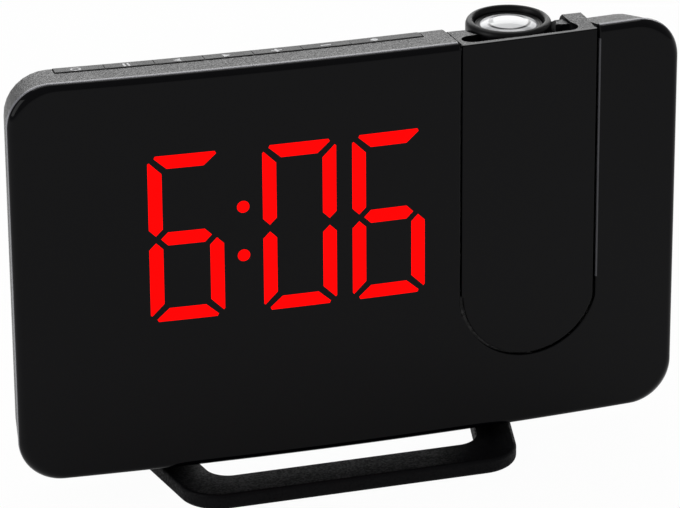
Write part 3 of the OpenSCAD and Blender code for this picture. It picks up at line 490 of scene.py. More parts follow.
# The face's rolled rim along its outline, towards its side: the paler colour is a painted highlight of the light from
# behind.
RIM_PAINTED_HIGHLIGHT = Finish("acrylic_rim_painted_highlight", "#7e7e84", 0.25, Grain.SATIN, 0.4, 0.1, mottle=0.08)
# Red light through the window's tinted bars: even and fully bright.
LIT_RED = Finish("display_lit_red", "#ff0606", 0.5, Grain.GLOWING, specular=0.0, glow=1.0)
# Tinted window in front of bars that are off: almost black.
UNLIT_RED = Finish("display_unlit_tint", "#1c0a0a", 0.3, Grain.POLISHED)
# White ABS of the light box: bright and slightly satin.
WHITE_ABS = Finish("abs_white_reflector", "#e6e6e0", 0.4, Grain.SATIN, 0.3, 0.1)
# Green solder mask over glass cloth: smooth, with a clear gloss.
BOARD = Finish("solder_mask_green", "#1c5c38", 0.3, Grain.SATIN, 0.5, 0.1, coat=0.2)
# Black epoxy of moulded components: dull with a fine grain.
COMPONENT = Finish("epoxy_component_black", "#18181a", 0.45, Grain.MOULDED, 0.3, 0.15)
# Zinc-plated steel: bright grey with a fine drawn line.
STEEL = Finish("steel_zinc_plated", "#b4b6ba", 0.3, Grain.BRUSHED, 0.2, 0.15, metallic=1.0)
# Nickel-plated steel of the backup cell: warmer and smoother than zinc.
CELL_STEEL = Finish("steel_nickel_plated", "#c3bfb6", 0.22, Grain.BRUSHED, 0.2, 0.08, metallic=1.0)
# Amber epoxy of light chips.
LED_AMBER = Finish("led_epoxy_amber", "#e8cf8c", 0.25, Grain.POLISHED, mottle=0.05)
# Black treated paper of the speaker's cone: fibrous and dull.
CONE_PAPER = Finish("speaker_cone_paper", "#1f1e1d", 0.75, Grain.MOULDED, 0.5, 0.4)
# Dark photographic film of the projected figures.
FILM = Finish("slide_film_dark", "#101418", 0.2, Grain.POLISHED)
# Shrink sleeve of the capacitor.
SLEEVE = Finish("pvc_sleeve_navy", "#1b2340", 0.35, Grain.SATIN, 0.4, 0.1)
# Clear acrylic of the condenser.
CLEAR_LENS = Finish("acrylic_lens_pale", "#eef1f4", 0.05, Grain.POLISHED, ior=1.49, mottle=0.02)
# Acrylic of the projector's front lens: its near-white colour is a painted reflection, and its grey and dark rings are
# painted shade and painted reflection.
LENS_DOME = Finish("acrylic_lens_painted_reflection", "#fbfcfd", 0.06, Grain.LENS, ior=1.49, mottle=0.02)
# Matt rubber of the feet.
RUBBER = Finish("rubber_matt_black", "#101010", 0.8, Grain.MOULDED, 0.4, 0.3)

SLOT_FINISH: Dict[str, Finish] = {
    "gloss_black": GLOSS_BLACK, "matte_black": MATTE_BLACK, "key_black": KEY_BLACK, "ring_black": RING_BLACK,
    "lit_red": LIT_RED, "unlit_red": UNLIT_RED, "white_plastic": WHITE_ABS, "circuit_board": BOARD,
    "component_black": COMPONENT, "steel": STEEL, "clear_lens": CLEAR_LENS, "rubber": RUBBER}


# ---------------------------------------------------------------- face

@dataclass(frozen=True)
class PlanCurve:
    """The gentle plan curve that the whole clock follows: a circle of a set radius, seen from above."""

    radius: float = 1077.0

    def depth(self, x: np.ndarray) -> np.ndarray:
        """Depth of the curve at x: the radius less the root of its square less x squared."""
        return self.radius - np.sqrt(self.radius ** 2 - x ** 2)

    def front(self, x: np.ndarray) -> np.ndarray:
        """Outward normal at x, pointing from the circle's centre to the front."""
        return np.stack([x / self.radius, -np.sqrt(1 - (x / self.radius) ** 2), np.zeros_like(x)], -1)

    def strip(self, edge: np.ndarray, out: np.ndarray, depth: Any, turn: float) -> Row:
        """One row of a rolled edge: its points, and normals turned from the front to the side.

        Args:
            edge: The edge in x and z.
            out: Its outward directions in x and z.
            depth: How far the row lies behind the curve, one number or one for each point.
            turn: How far the normals turn.
        """
        points = np.stack([edge[:, 0], self.depth(edge[:, 0]) + depth, edge[:, 1]], -1)
        side = np.stack([out[:, 0], np.zeros(len(out)), out[:, 1]], -1)
        return points, unit(math.cos(turn) * self.front(edge[:, 0]) + math.sin(turn) * side)


@dataclass
class FacePanel:
    """The glossy curved front with its rolled rim and the arm's notch."""

    curve: PlanCurve = PlanCurve()
    width: float = 188.0
    height: float = 115.8
    corner: float = 12.0
    roll: float = 2.0
    depth: float = 2.4
    notch_x: float = 49.95
    notch_half: float = 20.1
    notch_left: float = 19.8
    notch_axis: Tuple[float, float] = (14.4, 41.2)
    notch_ball: float = 23.95
    lip: float = 0.5
    # Radius of the notch's right edge that carries the painted highlight.
    cut: float = 0.5
    hair: Tuple[float, float] = (0.01, 0.012)
    # Angle on the rim from which its painted highlight starts.
    highlight_from: float = 1.27
    room: float = 0.35
    room_from: float = 18.4
    room_over: float = 0.9

    def _limits(self, x: np.ndarray) -> Tuple[np.ndarray, np.ndarray]:
        """Lowest and highest z of the flat part of the face at x, round its corners."""
        past = np.clip(np.abs(x) - (self.width / 2 - self.roll - self.corner), 0, self.corner)
        drop = self.corner - np.sqrt(np.maximum(self.corner ** 2 - past ** 2, 0))
        return self.roll + drop, self.height - self.roll - drop

    def _notch_foot(self, x: np.ndarray, grow: float = 0.0, deep: float = 0.0) -> np.ndarray:
        """Height of the notch's round foot at x: the ball's cut at a depth behind the face, with a margin.

        The ball grows a little towards the left corner, the room that the tilting plate's corner swings through.
        """
        share = np.clip((self.notch_x - x - self.room_from) / self.room_over, 0, 1)
        ball = self.notch_ball + self.room * share ** 2 * (3 - 2 * share)
        wide = ball ** 2 - (self.notch_axis[0] - self.curve.depth(x) - deep) ** 2
        return self.notch_axis[1] - np.sqrt(np.maximum((np.sqrt(wide) + grow) ** 2 - (x - self.notch_x) ** 2, 0))

    def _across(self, grow: float) -> np.ndarray:
        """Places across the notch, closer together at its ends, widened by a margin."""
        share = -np.cos(np.linspace(0, np.pi, 61))
        return self.notch_x + share * np.where(share < 0, self.notch_left + grow, self.notch_half + grow)

    def _sheet(self, patches: Patches, x: np.ndarray, low: np.ndarray, high: np.ndarray, rows: int) -> None:
        """Adds the part of the face between two heights: each column of points runs from low to high at its x."""
        share = np.linspace(0, 1, rows)[:, None]
        z = low[None] * (1 - share) + high[None] * share
        across = np.repeat(x[None], rows, 0)
        points = np.stack([across, self.curve.depth(across), z], -1)
        patches.add(points, self.curve.front(across))

    def _outline(self, inset: float) -> Row:
        """The face's edge from the notch's right corner clockwise to its left one, with its outward normals.

        Args:
            inset: How far the edge lies inside the outline; the corners keep their radius and move in.

        Returns:
            Points in x and z, and normals in x and z.
        """
        hx, hz = self.width / 2 - inset - self.corner, self.height / 2 - inset - self.corner
        mid, r = self.height / 2, self.corner
        turn = np.linspace(0, np.pi / 2, 27)[1:-1]
        parts, normals = [], []

        def straight(a: Tuple[float, float], b: Tuple[float, float], n: Tuple[float, float], count: int) -> None:
            """Adds a straight run of points from a to b."""
            share = np.linspace(0, 1, count)[:, None]
            parts.append(np.array([a]) * (1 - share) + np.array([b]) * share)
            normals.append(np.repeat(np.array([n], float), count, 0))

        def corner(cx: float, cz: float, first: float) -> None:
            """Adds a quarter turn, clockwise from the first angle."""
            a = first - turn
            n = np.stack([np.cos(a), np.sin(a)], -1)
            parts.append(np.array([[cx, cz]]) + r * n)
            normals.append(n)

        straight((self.notch_x + self.notch_half + self.lip, mid + hz + r), (hx, mid + hz + r), (0, 1), 8)
        corner(hx, mid + hz, np.pi / 2)
        straight((hx + r, mid + hz), (hx + r, mid - hz), (1, 0), 8)
        corner(hx, mid - hz, 0)
        straight((hx, mid - hz - r), (-hx, mid - hz - r), (0, -1), 96)
        corner(-hx, mid - hz, -np.pi / 2)
        straight((-hx - r, mid - hz), (-hx - r, mid + hz), (-1, 0), 8)
        corner(-hx, mid + hz, np.pi)
        straight((-hx, mid + hz + r), (self.notch_x - self.notch_left - self.lip, mid + hz + r), (0, 1), 64)
        return np.concatenate(parts), np.concatenate(normals)

    def _rim(self, patches: Patches) -> None:
        """Adds the rolled rim: a quarter turn from the face towards the side, black up to where the painted highlight
        starts.
        """
        patches.band([self._rim_row(a) for a in np.linspace(0, self.highlight_from, 10)])

    def _rim_row(self, a: float) -> Row:
        """One row of the rim's quarter turn, at an angle from the front."""
        edge, out = self._outline(self.roll * (1 - math.sin(a)))
        return self.curve.strip(edge, out, self.roll * (1 - math.cos(a)), a)

    def _highlight_rim(self) -> None:
        """Adds the rim's painted highlight: the end of the quarter turn, then a short straight side to its back, in a
        paler colour that stands in for the light the edge catches.
        """
        rows = [self._rim_row(a) for a in np.linspace(self.highlight_from, np.pi / 2, 5)]
        edge, out = self._outline(0.0)
        rows.append(self.curve.strip(edge, out, self.depth, np.pi / 2))
        patches = Patches()
        patches.band(rows)
        install(patches.build("panel_edge"), RIM_PAINTED_HIGHLIGHT, "gloss_black", "clock")

    def _notch_path(self, grow: float, deep: float) -> Row:
        """The notch's edge from its left top, down, round its foot and up to its right top, with its normals."""
        x = self._across(grow)
        foot = self._notch_foot(x, grow, deep)
        fine = np.concatenate([self.height - self.roll * (1 - np.cos(np.linspace(0, np.pi / 2, 9))),
                               np.linspace(self.height - self.roll - 1, foot[0] + 0.5, 30)])
        left = np.stack([np.full(len(fine), x[0]), fine], -1)
        right = np.stack([np.full(len(fine), x[-1]), fine[::-1]], -1)
        arc = np.stack([x, foot], -1)
        normal = unit(np.stack([self.notch_x - x, self.notch_axis[1] - foot], -1))
        path = np.concatenate([left, arc, right])
        inward = np.concatenate([np.tile([1.0, 0.0], (len(fine), 1)), normal, np.tile([-1.0, 0.0], (len(fine), 1))])
        return path, inward

    def _notch_wall(self, patches: Patches) -> None:
        """Adds the notch's wall, with a small rolled lip at the front and the rim's roll at its top ends."""
        rows = []
        turns = [*np.linspace(0, np.pi / 2, 5), np.pi / 2]
        for number, turn in enumerate(turns, 1):
            back = number == len(turns)
            sunk = self.depth if back else self.lip * (1 - math.cos(turn))
            path, inward = self._notch_path(self.lip * (1 - math.sin(turn)), sunk)
            lift = np.clip(1 - (self.height - path[:, 1]) / self.roll, 0, 1)
            start = self.roll * (1 - np.sqrt(1 - lift ** 2))
            depth = np.maximum(self.depth, start) if back else start + sunk
            rows.append(self.curve.strip(path, inward, depth, turn))
        patches.band(rows)

    def build(self) -> None:
        """Builds the panel and lets it stand for the CAD panel."""
        patches = Patches()
        edge = self.width / 2 - self.roll
        flat = edge - self.corner
        swing = np.sin(np.linspace(0, np.pi / 2, 25))
        left = self.notch_x - self.notch_left - self.lip
        right = self.notch_x + self.notch_half + self.lip
        x = np.concatenate([-flat - self.corner * swing[::-1], np.linspace(-flat, left, 60)[1:]])
        self._sheet(patches, x, *self._limits(x), rows=24)
        x = np.linspace(right, flat, 12)
        x = np.concatenate([x, flat + self.corner * swing[1:]])
        self._sheet(patches, x, *self._limits(x), rows=24)
        x = self._across(self.lip)
        self._sheet(patches, x, self._limits(x)[0], self._notch_foot(x, self.lip), rows=12)
        self._rim(patches)
        self._notch_wall(patches)
        install(patches.build("face_panel"), GLOSS_BLACK, "gloss_black", "clock", "front_panel")
        self._highlight_rim()
        self._notch_highlight()

    def _notch_highlight(self) -> None:
        """Adds the notch's right edge with a painted highlight: a quarter turn from face to wall, in a paler colour
        that stands in for the light it catches.
        """
        z = np.linspace(self.height - self.roll - 1.5, self.notch_axis[1] + 0.5, 40)
        inward = np.tile([-1.0, 0.0], (len(z), 1))
        rows = []
        for a in np.linspace(0, np.pi / 2, 6):
            x = np.full(len(z), self.notch_x + self.notch_half + self.cut * (1 - math.sin(a)) - self.hair[0])
            deep = self.cut * (1 - math.cos(a)) - self.hair[1]
            rows.append(self.curve.strip(np.stack([x, z], -1), inward, deep, a))
        patches = Patches()
        patches.band(rows)
        install(patches.build("notch_edge"), NOTCH_PAINTED_HIGHLIGHT, "gloss_black", "clock")


@dataclass
class Display:
    """The red bars and dots that shine through the face."""

    proud: float = 0.03
    middle_x: float = -31.2
    middle_z: float = 69.0
    dot_rise: float = 7.1
    dot_share: float = 0.9
    dot_room: float = 2.6

    def build(self) -> None:
        """Shows the lit bars a hair in front of the face, so that they and the face never share a surface.

        The light of the two dots fills a little less than their holes: each point of a dot moves towards its
        middle by a tenth.
        """
        bars = smooth_copy("lit_segments", LIT_RED, "lit_red", "clock", 20.0, (0.0, -self.proud, 0.0))
        points = read(bars.data.vertices, "co", 3) / MM - ROW_SHIFT
        for rise in (-self.dot_rise, self.dot_rise):
            reach = points[:, [0, 2]] - np.array([self.middle_x, self.middle_z + rise])
            near = np.hypot(reach[:, 0], reach[:, 1]) < self.dot_room
            points[np.ix_(near, [0, 2])] -= reach[near] * (1 - self.dot_share)
        bars.data.vertices.foreach_set("co", placed(points).ravel())
        bars.data.update()


# ---------------------------------------------------------------- casing

@dataclass
class Casing:
    """The two shells behind the face and their hinge lugs."""

    curve: PlanCurve = PlanCurve()
    width: float = 188.0
    height: float = 115.8
    corner: float = 12.0
    band: float = 6.0
    band_side: float = 9.0
    band_end: float = 15.0
    shoulder: float = 8.0
    roll: float = 2.0
    arm_x: float = 49.95
    parting: float = 11.0
    end_slope: float = 25.0
    end_ahead: float = 0.8
    end_stop: float = 18.0
    shoulder_slope: float = 40.0
    shoulder_deep: float = 4.2

    def band_surface(self, points: np.ndarray) -> Row:
        """Gives the casing's outer band and shoulder as one surface.

        The cross-section is a rounded rectangle. Its outward normal leans back by the band's draft, and over the
        shoulder by the angle whose sine grows with depth. Right of the arm the top falls at a steeper slope.

        Args:
            points: Points in clock millimetres.

        Returns:
            Normals, and the distance of each point from the surface.
        """
        x, z = points[:, 0], points[:, 2] - self.height / 2
        deep = points[:, 1] - self.curve.depth(x)
        past = np.maximum(deep - self.band_end, 0)
        band, steepest = math.radians(self.band), math.radians(self.shoulder_slope)
        lean = np.arcsin(np.clip(past / self.shoulder + math.sin(band), 0, math.sin(steepest)))
        along = np.clip(np.minimum(deep, self.band_end) - self.roll, 0, None)
        inset = along * math.tan(band) + self.shoulder * (math.cos(band) - np.cos(lean))
        side = inset + along * (math.tan(math.radians(self.band_side)) - math.tan(band))
        steep, first = (x > self.arm_x) & (z > 0), self.parting - self.end_ahead
        drop = np.where(steep, np.maximum(0, np.minimum(deep, self.end_stop) - first), 0) * (
            math.tan(math.radians(self.end_slope)) - math.tan(band))
        dx = np.abs(x) - (self.width / 2 - side - self.corner)
        dz = np.abs(z + drop) - (self.height / 2 - inset - self.corner)
        round_x, round_z = np.maximum(dx, 0), np.maximum(dz, 0)
        far = np.maximum(np.hypot(round_x, round_z), 1e-6)
        at_corner = (dx > 0) & (dz > 0)
        on_side = (dx > 0) & ~at_corner
        out_x = np.where(at_corner, round_x / far, on_side.astype(float)) * np.sign(x)
        out_z = np.where(at_corner, round_z / far, (~on_side).astype(float)) * np.sign(z)
        away = np.abs(np.where(at_corner, far, np.where(on_side, dx, dz)) - self.corner)
        tilt = np.maximum(lean, np.radians(self.band + (self.band_side - self.band) * np.abs(out_x)))
        tilt = np.where(steep & (deep > first) & (deep < self.end_stop),
                        np.maximum(tilt, np.radians(self.end_slope) * np.abs(out_z)), tilt)
        normals = np.stack([out_x * np.cos(tilt), np.sin(tilt), out_z * np.cos(tilt)], -1)
        return unit(normals), np.where(deep < self.band_end + self.shoulder_deep, away, np.inf)

    def build(self) -> None:
        """Dresses the shells as one moulded housing, with curves shaded as curves."""
        for node in ("front_shell", "rear_shell"):
            smooth_copy(node, MATTE_BLACK, "matte_black", "clock", 20.0, shape=self.band_surface)
        smooth_copy("hinge_lugs", MATTE_BLACK, "matte_black", "clock", 20.0)


class Mark(Enum):
    """Plain marks printed on the keys."""

    RING = "ring"
    BAR = "bar"
    PLUS = "plus"
    LEFT = "left wedge"
    RIGHT = "right wedge"
    PAIR = "two bars"
    DOT = "dot"


@dataclass
class KeyStrip:
    """Seven keys in a row behind the face, each with one plain mark."""

    curve: PlanCurve = PlanCurve()
    first_x: float = -72.6
    pitch: float = 13.7
    mark_depth: float = 13.5
    mark_size: float = 2.9
    top: float = 115.8
    slope: float = 6.0
    roll: float = 2.0
    proud: float = 0.17
    marks: Tuple[Mark, ...] = (Mark.RING, Mark.PAIR, Mark.LEFT, Mark.RIGHT, Mark.PLUS, Mark.BAR, Mark.DOT)

    def _flat_shape(self, mark: Mark) -> Tuple[np.ndarray, List[List[int]]]:
        """Outline of a mark, about its own middle, in shares of its size.

        Args:
            mark: Which mark.

        Returns:
            Points in right and back directions, and faces.
        """
        if mark in (Mark.RING, Mark.DOT):
            a = np.linspace(0, 2 * np.pi, 40, endpoint=False)
            outer, inner = (0.5, 0.33) if mark is Mark.RING else (0.36, 0.02)
            round_ = np.stack([np.cos(a), np.sin(a)], -1)
            faces = grid_faces(2, 40, True)
            return np.concatenate([outer * round_, inner * round_]), faces.tolist()
        boxes = {Mark.BAR: [(-0.5, 0.5, -0.12, 0.12)], Mark.PAIR: [(-0.3, -0.1, -0.5, 0.5), (0.1, 0.3, -0.5, 0.5)],
                 Mark.PLUS: [(-0.5, 0.5, -0.12, 0.12), (-0.12, 0.12, 0.12, 0.5), (-0.12, 0.12, -0.5, -0.12)]}
        if mark in boxes:
            corners = [[(a, c), (b, c), (b, d), (a, d)] for a, b, c, d in boxes[mark]]
            return np.array(corners, float).reshape(-1, 2), [[4 * i, 4 * i + 1, 4 * i + 2, 4 * i + 3]
                                                             for i in range(len(corners))]
        s = -1.0 if mark is Mark.LEFT else 1.0
        return np.array([[-0.35 * s, -0.45], [0.4 * s, 0.0], [-0.35 * s, 0.45]]), [[0, 1, 2] if s > 0 else [2, 1, 0]]

    def _mark(self, number: int) -> None:
        """Prints one mark on a key: the flat shape lies on the key's slope, a hair above it."""
        shape, faces = self._flat_shape(self.marks[number])
        middle = self.first_x + number * self.pitch
        x = middle + shape[:, 0] * self.mark_size
        deep = self.mark_depth + shape[:, 1] * self.mark_size
        z = self.top - (deep - self.roll) * math.tan(math.radians(self.slope)) + self.proud
        points = placed(np.stack([x, self.curve.depth(x) + deep, z], -1))
        obj = mesh_object(f"key_{number + 1}_mark", points, faces)
        install(obj, PRINT_GREY, "key_black", f"key_{number + 1}")

    def build(self) -> None:
        """Dresses the keys and prints their marks."""
        for number in range(len(self.marks)):
            smooth_copy(f"key_{number + 1}", KEY_BLACK, "key_black", f"key_{number + 1}", 28.0)
            self._mark(number)


# ---------------------------------------------------------------- projector arm

@dataclass
class ArmPlate:
    """The glossy front of the projector arm, on the face's own curve."""

    curve: PlanCurve = PlanCurve()
    middle: float = 49.95
    half: float = 19.4
    top: float = 115.35
    thick: float = 1.3
    ball: float = 23.49
    axis: Tuple[float, float] = (14.4, 41.2)
    edge: float = 0.3
    crest: float = 0.3

    def _foot(self, x: np.ndarray, grow: float) -> np.ndarray:
        """Height of the plate's round foot at x: the ball's cut through the face, with a margin."""
        wide = np.sqrt(self.ball ** 2 - (self.axis[0] - self.curve.depth(x)) ** 2) + grow
        return self.axis[1] - np.sqrt(np.maximum(wide ** 2 - (x - self.middle) ** 2, 0))

    def _path(self, grow: float) -> Row:
        """The plate's edge from its left top corner, down, round its foot and up to its right top corner."""
        half = self.half + grow
        x = self.middle - half * np.cos(np.linspace(0, np.pi, 61))
        foot = self._foot(x, grow)
        out = unit(np.stack([x - self.middle, foot - self.axis[1]], -1))
        upright = np.linspace(self.top - self.crest, foot[0] + 0.4, 24)
        left = np.stack([np.full(24, self.middle - half), upright], -1)
        right = np.stack([np.full(24, self.middle + half), upright[::-1]], -1)
        sides = [np.tile([-1.0, 0.0], (24, 1)), out, np.tile([1.0, 0.0], (24, 1))]
        return np.concatenate([left, np.stack([x, foot], -1), right]), np.concatenate(sides)

    def build(self) -> None:
        """Builds the plate: face grid, rolled sides and foot, and a softened crest."""
        patches = Patches()
        x = self.middle - (self.half - self.edge) * np.cos(np.linspace(0, np.pi, 61))
        share = np.linspace(0, 1, 40)[:, None]
        z = self._foot(x, -self.edge)[None] * (1 - share) + (self.top - self.crest) * share
        across = np.repeat(x[None], 40, 0)
        patches.add(np.stack([across, self.curve.depth(across), z], -1), self.curve.front(across))
        rows = []
        for a in np.linspace(0, np.pi / 2, 7):
            path, out = self._path(self.edge * (math.sin(a) - 1))
            rows.append(self.curve.strip(path, out, self.edge * (1 - math.cos(a)), a))
        path, out = self._path(0.0)
        rows.append(self.curve.strip(path, out, self.thick, np.pi / 2))
        patches.band(rows)
        self._crest(patches)
        install(patches.build("arm_face"), GLOSS_BLACK, "gloss_black", "arm", "arm_plate")

    def _crest(self, patches: Patches) -> None:
        """Adds the plate's top: a small quarter turn from the face, then flat to the plate's back."""
        x = np.linspace(self.middle - self.half, self.middle + self.half, 60)
        front, up = self.curve.front(x), np.tile([0.0, 0.0, 1.0], (60, 1))
        corner = np.maximum(self.edge - (self.half - np.abs(x - self.middle)), 0)
        start = self.edge - np.sqrt(np.maximum(self.edge ** 2 - corner ** 2, 0))
        points, normals = [], []
        for a in np.linspace(0, np.pi / 2, 6):
            deep = np.maximum(self.crest * (1 - math.cos(a)), start)
            height = np.full(60, self.top - self.crest * (1 - math.sin(a)))
            points.append(np.stack([x, self.curve.depth(x) + deep, height], -1))
            normals.append(unit(math.cos(a) * front + math.sin(a) * up))
        points.append(np.stack([x, self.curve.depth(x) + self.thick, np.full(60, self.top)], -1))
        normals.append(up)
        patches.add(np.stack(points), np.stack(normals))


@dataclass
class Projector:
    """The arm's housing with the focus ring and the lens in its top."""

    plate: ArmPlate = field(default_factory=ArmPlate)
    centre: Tuple[float, float] = (48.4, 15.7)
    lens_r: float = LENS_R / MM
    lens_foot: float = 114.12
    lens_bulge: float = 1.5
    lens_side: float = 0.3
    recess_low: float = 85.0
    recess_floor: float = 110.9
    recess_depths: Tuple[float, float] = (2.8, 28.5)

    def _lens(self) -> None:
        """Builds the lens's dome: height falls from the bulge to nothing with the square of the radius."""
        radius = np.linspace(self.lens_r, 0.01, 24)
        height = self.lens_foot + self.lens_bulge * (1 - (radius / self.lens_r) ** 2)
        rim = np.array([[self.lens_r, self.lens_foot - self.lens_side]])
        patches = Patches()
        patches.turn(np.concatenate([rim, np.stack([radius, height], -1)]), self.centre)
        install(patches.build("lens_dome"), LENS_DOME, "clear_lens", "lens", "projector_lens")

    def _paint_recess_shade(self, housing: bpy.types.Object) -> None:
        """Paints shade on the walls and floor of the well and slot with a darker finish: faces inside the top, below
        its rim.
        """
        mesh = housing.data
        x, y, z = (read(mesh.polygons, "center", 3) / MM - ROW_SHIFT).T
        upward = read(mesh.polygons, "normal", 3)[:, 2]
        inside = (np.abs(x - self.plate.middle) < self.plate.half - 0.3) & (z > self.recess_low)
        sunk = (upward < 0.3) | (z < self.recess_floor)
        front, back = self.recess_depths
        # The faces that get the painted shade.
        well = inside & sunk & (y > front) & (y < back) & (z < self.plate.top + 0.2)
        mesh.materials.append(RECESS_PAINTED_SHADE.material())
        mesh.polygons.foreach_set("material_index", well.astype(np.int32))
        mesh.update()

    def build(self) -> None:
        """Builds and dresses the whole arm."""
        self.plate.build()
        self._paint_recess_shade(smooth_copy("arm_housing", MATTE_BLACK, "matte_black", "arm", 14.0))
        smooth_copy("arm_back", MATTE_BLACK, "matte_black", "arm", 30.0)
        smooth_copy("focus_ring", RING_BLACK, "ring_black", "focus_ring", 50.0)
        smooth_copy("lens_carrier", RING_BLACK, "matte_black", "lens", 30.0)
        smooth_copy("lens_clip", RING_BLACK, "ring_black", "lens", 30.0)
        self._lens()


# ---------------------------------------------------------------- stand

@dataclass
class Stand:
    """The loop that the clock stands on: a broad bar in front and two legs back to the hinge."""

    middle: float = -2.25
    reach: float = 10.6
    half: float = 53.1
    bar: float = 11.9
    leg: float = 11.1
    outer_r: float = 11.5
    inner_r: float = 6.5
    spread: float = 11.4
    straight_from: float = 22.0
    axis_y: float = 31.0
    foot: float = -8.6
    height: float = 4.6
    under: float = 1.3
    crown: float = 1.1
    inner_edge: float = 0.6
    knuckle_half: float = 5.55
    knuckle_r: float = 4.199
    knuckle_z: float = -4.4
    knuckle_bore: float = 1.5
    knuckle_edge: float = 0.4
    knuckle_bevel: float = 0.12
    knuckle_lean: float = 0.7

    def _path(self, front: float, half: float, radius: float) -> Row:
        """One side of the loop's plan, mirrored to both: a corner arc, a slanted leg and a straight end.

        Args:
            front: Depth of the bar's edge.
            half: Half of the loop's width at its back.
            radius: Radius of the corner.

        Returns:
            Points in x and y from the left end round the bar to the right end, and their outward normals.
        """
        lean = math.radians(self.spread)
        yc = front + radius
        xc = half + ((yc - self.straight_from) * math.sin(lean) - radius) / math.cos(lean)
        a = np.linspace(-np.pi / 2, -lean, 33)
        arc = np.stack([xc + radius * np.cos(a), yc + radius * np.sin(a)], -1)
        arc_n = np.stack([np.cos(a), np.sin(a)], -1)
        share = np.linspace(0, 1, 17)[1:, None]
        slant = arc[-1:] * (1 - share) + np.array([[half, self.straight_from]]) * share
        slant_n = np.repeat(arc_n[-1:], 16, 0)
        end = np.stack([np.full(6, half), np.linspace(self.straight_from, self.axis_y, 7)[1:]], -1)
        end_n = np.tile([1.0, 0.0], (6, 1))
        side, side_n = np.concatenate([arc, slant, end]), np.concatenate([arc_n, slant_n, end_n])
        bar_x = np.linspace(-xc, xc, 41)[1:-1]
        bar = np.stack([bar_x, np.full(39, front)], -1)
        flip = np.array([[-1.0, 1.0]])
        points = np.concatenate([side[::-1] * flip, bar, side])
        normals = np.concatenate([side_n[::-1] * flip, np.tile([0.0, -1.0], (39, 1)), side_n])
        return points + np.array([[self.middle, 0.0]]), normals

    def _ring(self, inset: float, z: float, turn: float) -> Row:
        """A row round the outer side at an inset and height; turn raises the normal from sideways to up."""
        path, out = self._path(-self.reach + inset, self.half - inset, self.outer_r - inset)
        return self._lift(path, out, z, turn)

    def _inside(self, inset: float, z: float, turn: float) -> Row:
        """A row round the opening at an inset into the bar, with normals facing the opening."""
        path, out = self._path(-self.reach + self.bar - inset, self.half - self.leg + inset, self.inner_r + inset)
        return self._lift(path, -out, z, turn)

    def _lift(self, path: np.ndarray, out: np.ndarray, z: float, turn: float) -> Row:
        """Sets a plan row at a height, with its normal raised by the turn."""
        points = np.concatenate([path, np.full((len(path), 1), z)], 1)
        normals = np.concatenate([out * math.cos(turn), np.full((len(path), 1), math.sin(turn))], 1)
        return points, normals

    def _knuckle(self, patches: Patches, side: float) -> None:
        """Adds a hinge knuckle: a rod along x with softened ends, closed by flat faces round the pin."""
        a = np.linspace(0, 2 * np.pi, 48, endpoint=False)
        x0 = self.middle + side * (self.half - 2 * self.knuckle_half)
        x1 = self.middle + side * self.half
        low, high = min(x0, x1), max(x0, x1)
        full, edge, bevel = self.knuckle_r, self.knuckle_edge, self.knuckle_bevel
        # Distance from the end, radius, and how far the normal leans towards the end.
        end = [(0.0, self.knuckle_bore, 1.0), (0.0, full - edge, 1.0), (bevel, full - bevel, self.knuckle_lean),
               (edge, full, 0.0)]
        profile = [(low + x, r, -t) for x, r, t in end] + [(high - x, r, t) for x, r, t in reversed(end)]
        cos, sin = np.cos(a), np.sin(a)
        rows = []
        for x, r, t in profile:
            points = np.stack([np.full(48, x), self.axis_y + r * cos, self.knuckle_z + r * sin], -1)
            side = math.sqrt(1 - t * t)
            rows.append((points, np.stack([np.full(48, t), cos * side, sin * side], -1)))
        patches.band(rows, wrap=True)

    def build(self) -> None:
        """Builds the loop as bands round one path, and its two knuckles."""
        patches = Patches()
        top = self.foot + self.height
        outer = [self._ring(self.under * (1 - math.cos(a)), self.foot + self.under * (1 - math.sin(a)), -a)
                 for a in np.linspace(np.pi / 2, 0, 7)]
        outer += [self._ring(self.crown * (1 - math.cos(a)), top - self.crown * (1 - math.sin(a)), a)
                  for a in np.linspace(0, np.pi / 2, 10)]
        patches.band(outer)
        patches.band([self._ring(self.crown, top, np.pi / 2), self._inside(self.inner_edge, top, np.pi / 2)])
        inner = [self._inside(self.inner_edge * (1 - math.cos(a)), top - self.inner_edge * (1 - math.sin(a)), a)
                 for a in np.linspace(np.pi / 2, 0, 6)]
        inner.append(self._inside(0.0, self.foot, 0.0))
        patches.band(inner)
        patches.band([self._ring(self.under, self.foot, -np.pi / 2), self._inside(0.0, self.foot, -np.pi / 2)])
        for side in (-1.0, 1.0):
            self._knuckle(patches, side)
        install(patches.build("stand_loop"), STAND_BLACK, "matte_black", "stand", "stand")


# ---------------------------------------------------------------- inside and hardware

@dataclass
class Inside:
    """What the housing holds, and the small hardware outside: these pieces keep their CAD shapes."""

    def _finish(self, node: str, slot: str) -> "Finish":
        """Picks a node's finish by its slot, or by its name where one slot holds different real materials."""
        named = {"backup_cell": CELL_STEEL, "case_screws": STEEL, "display_leds": LED_AMBER, "speaker": CONE_PAPER,
                 "projector_led": LED_AMBER, "image_slide": FILM, "condenser_lens": CLEAR_LENS,
                 "smoothing_capacitor": SLEEVE, "clock_crystal": STEEL}
        return named.get(node, SLOT_FINISH[slot])

    def build(self) -> None:
        """Dresses every CAD node that is still shown."""
        for entry in frame["record"]["subparts"]:
            node = entry["node"]
            obj = frame["nodes"][node]
            if obj.hide_render:
                continue
            finish = self._finish(node, entry["material_slot"])
            obj.data.materials.clear()
            obj.data.materials.append(finish.material())
            log.info("%s: CAD shape with %s", node, finish.title)


# ---------------------------------------------------------------- studio

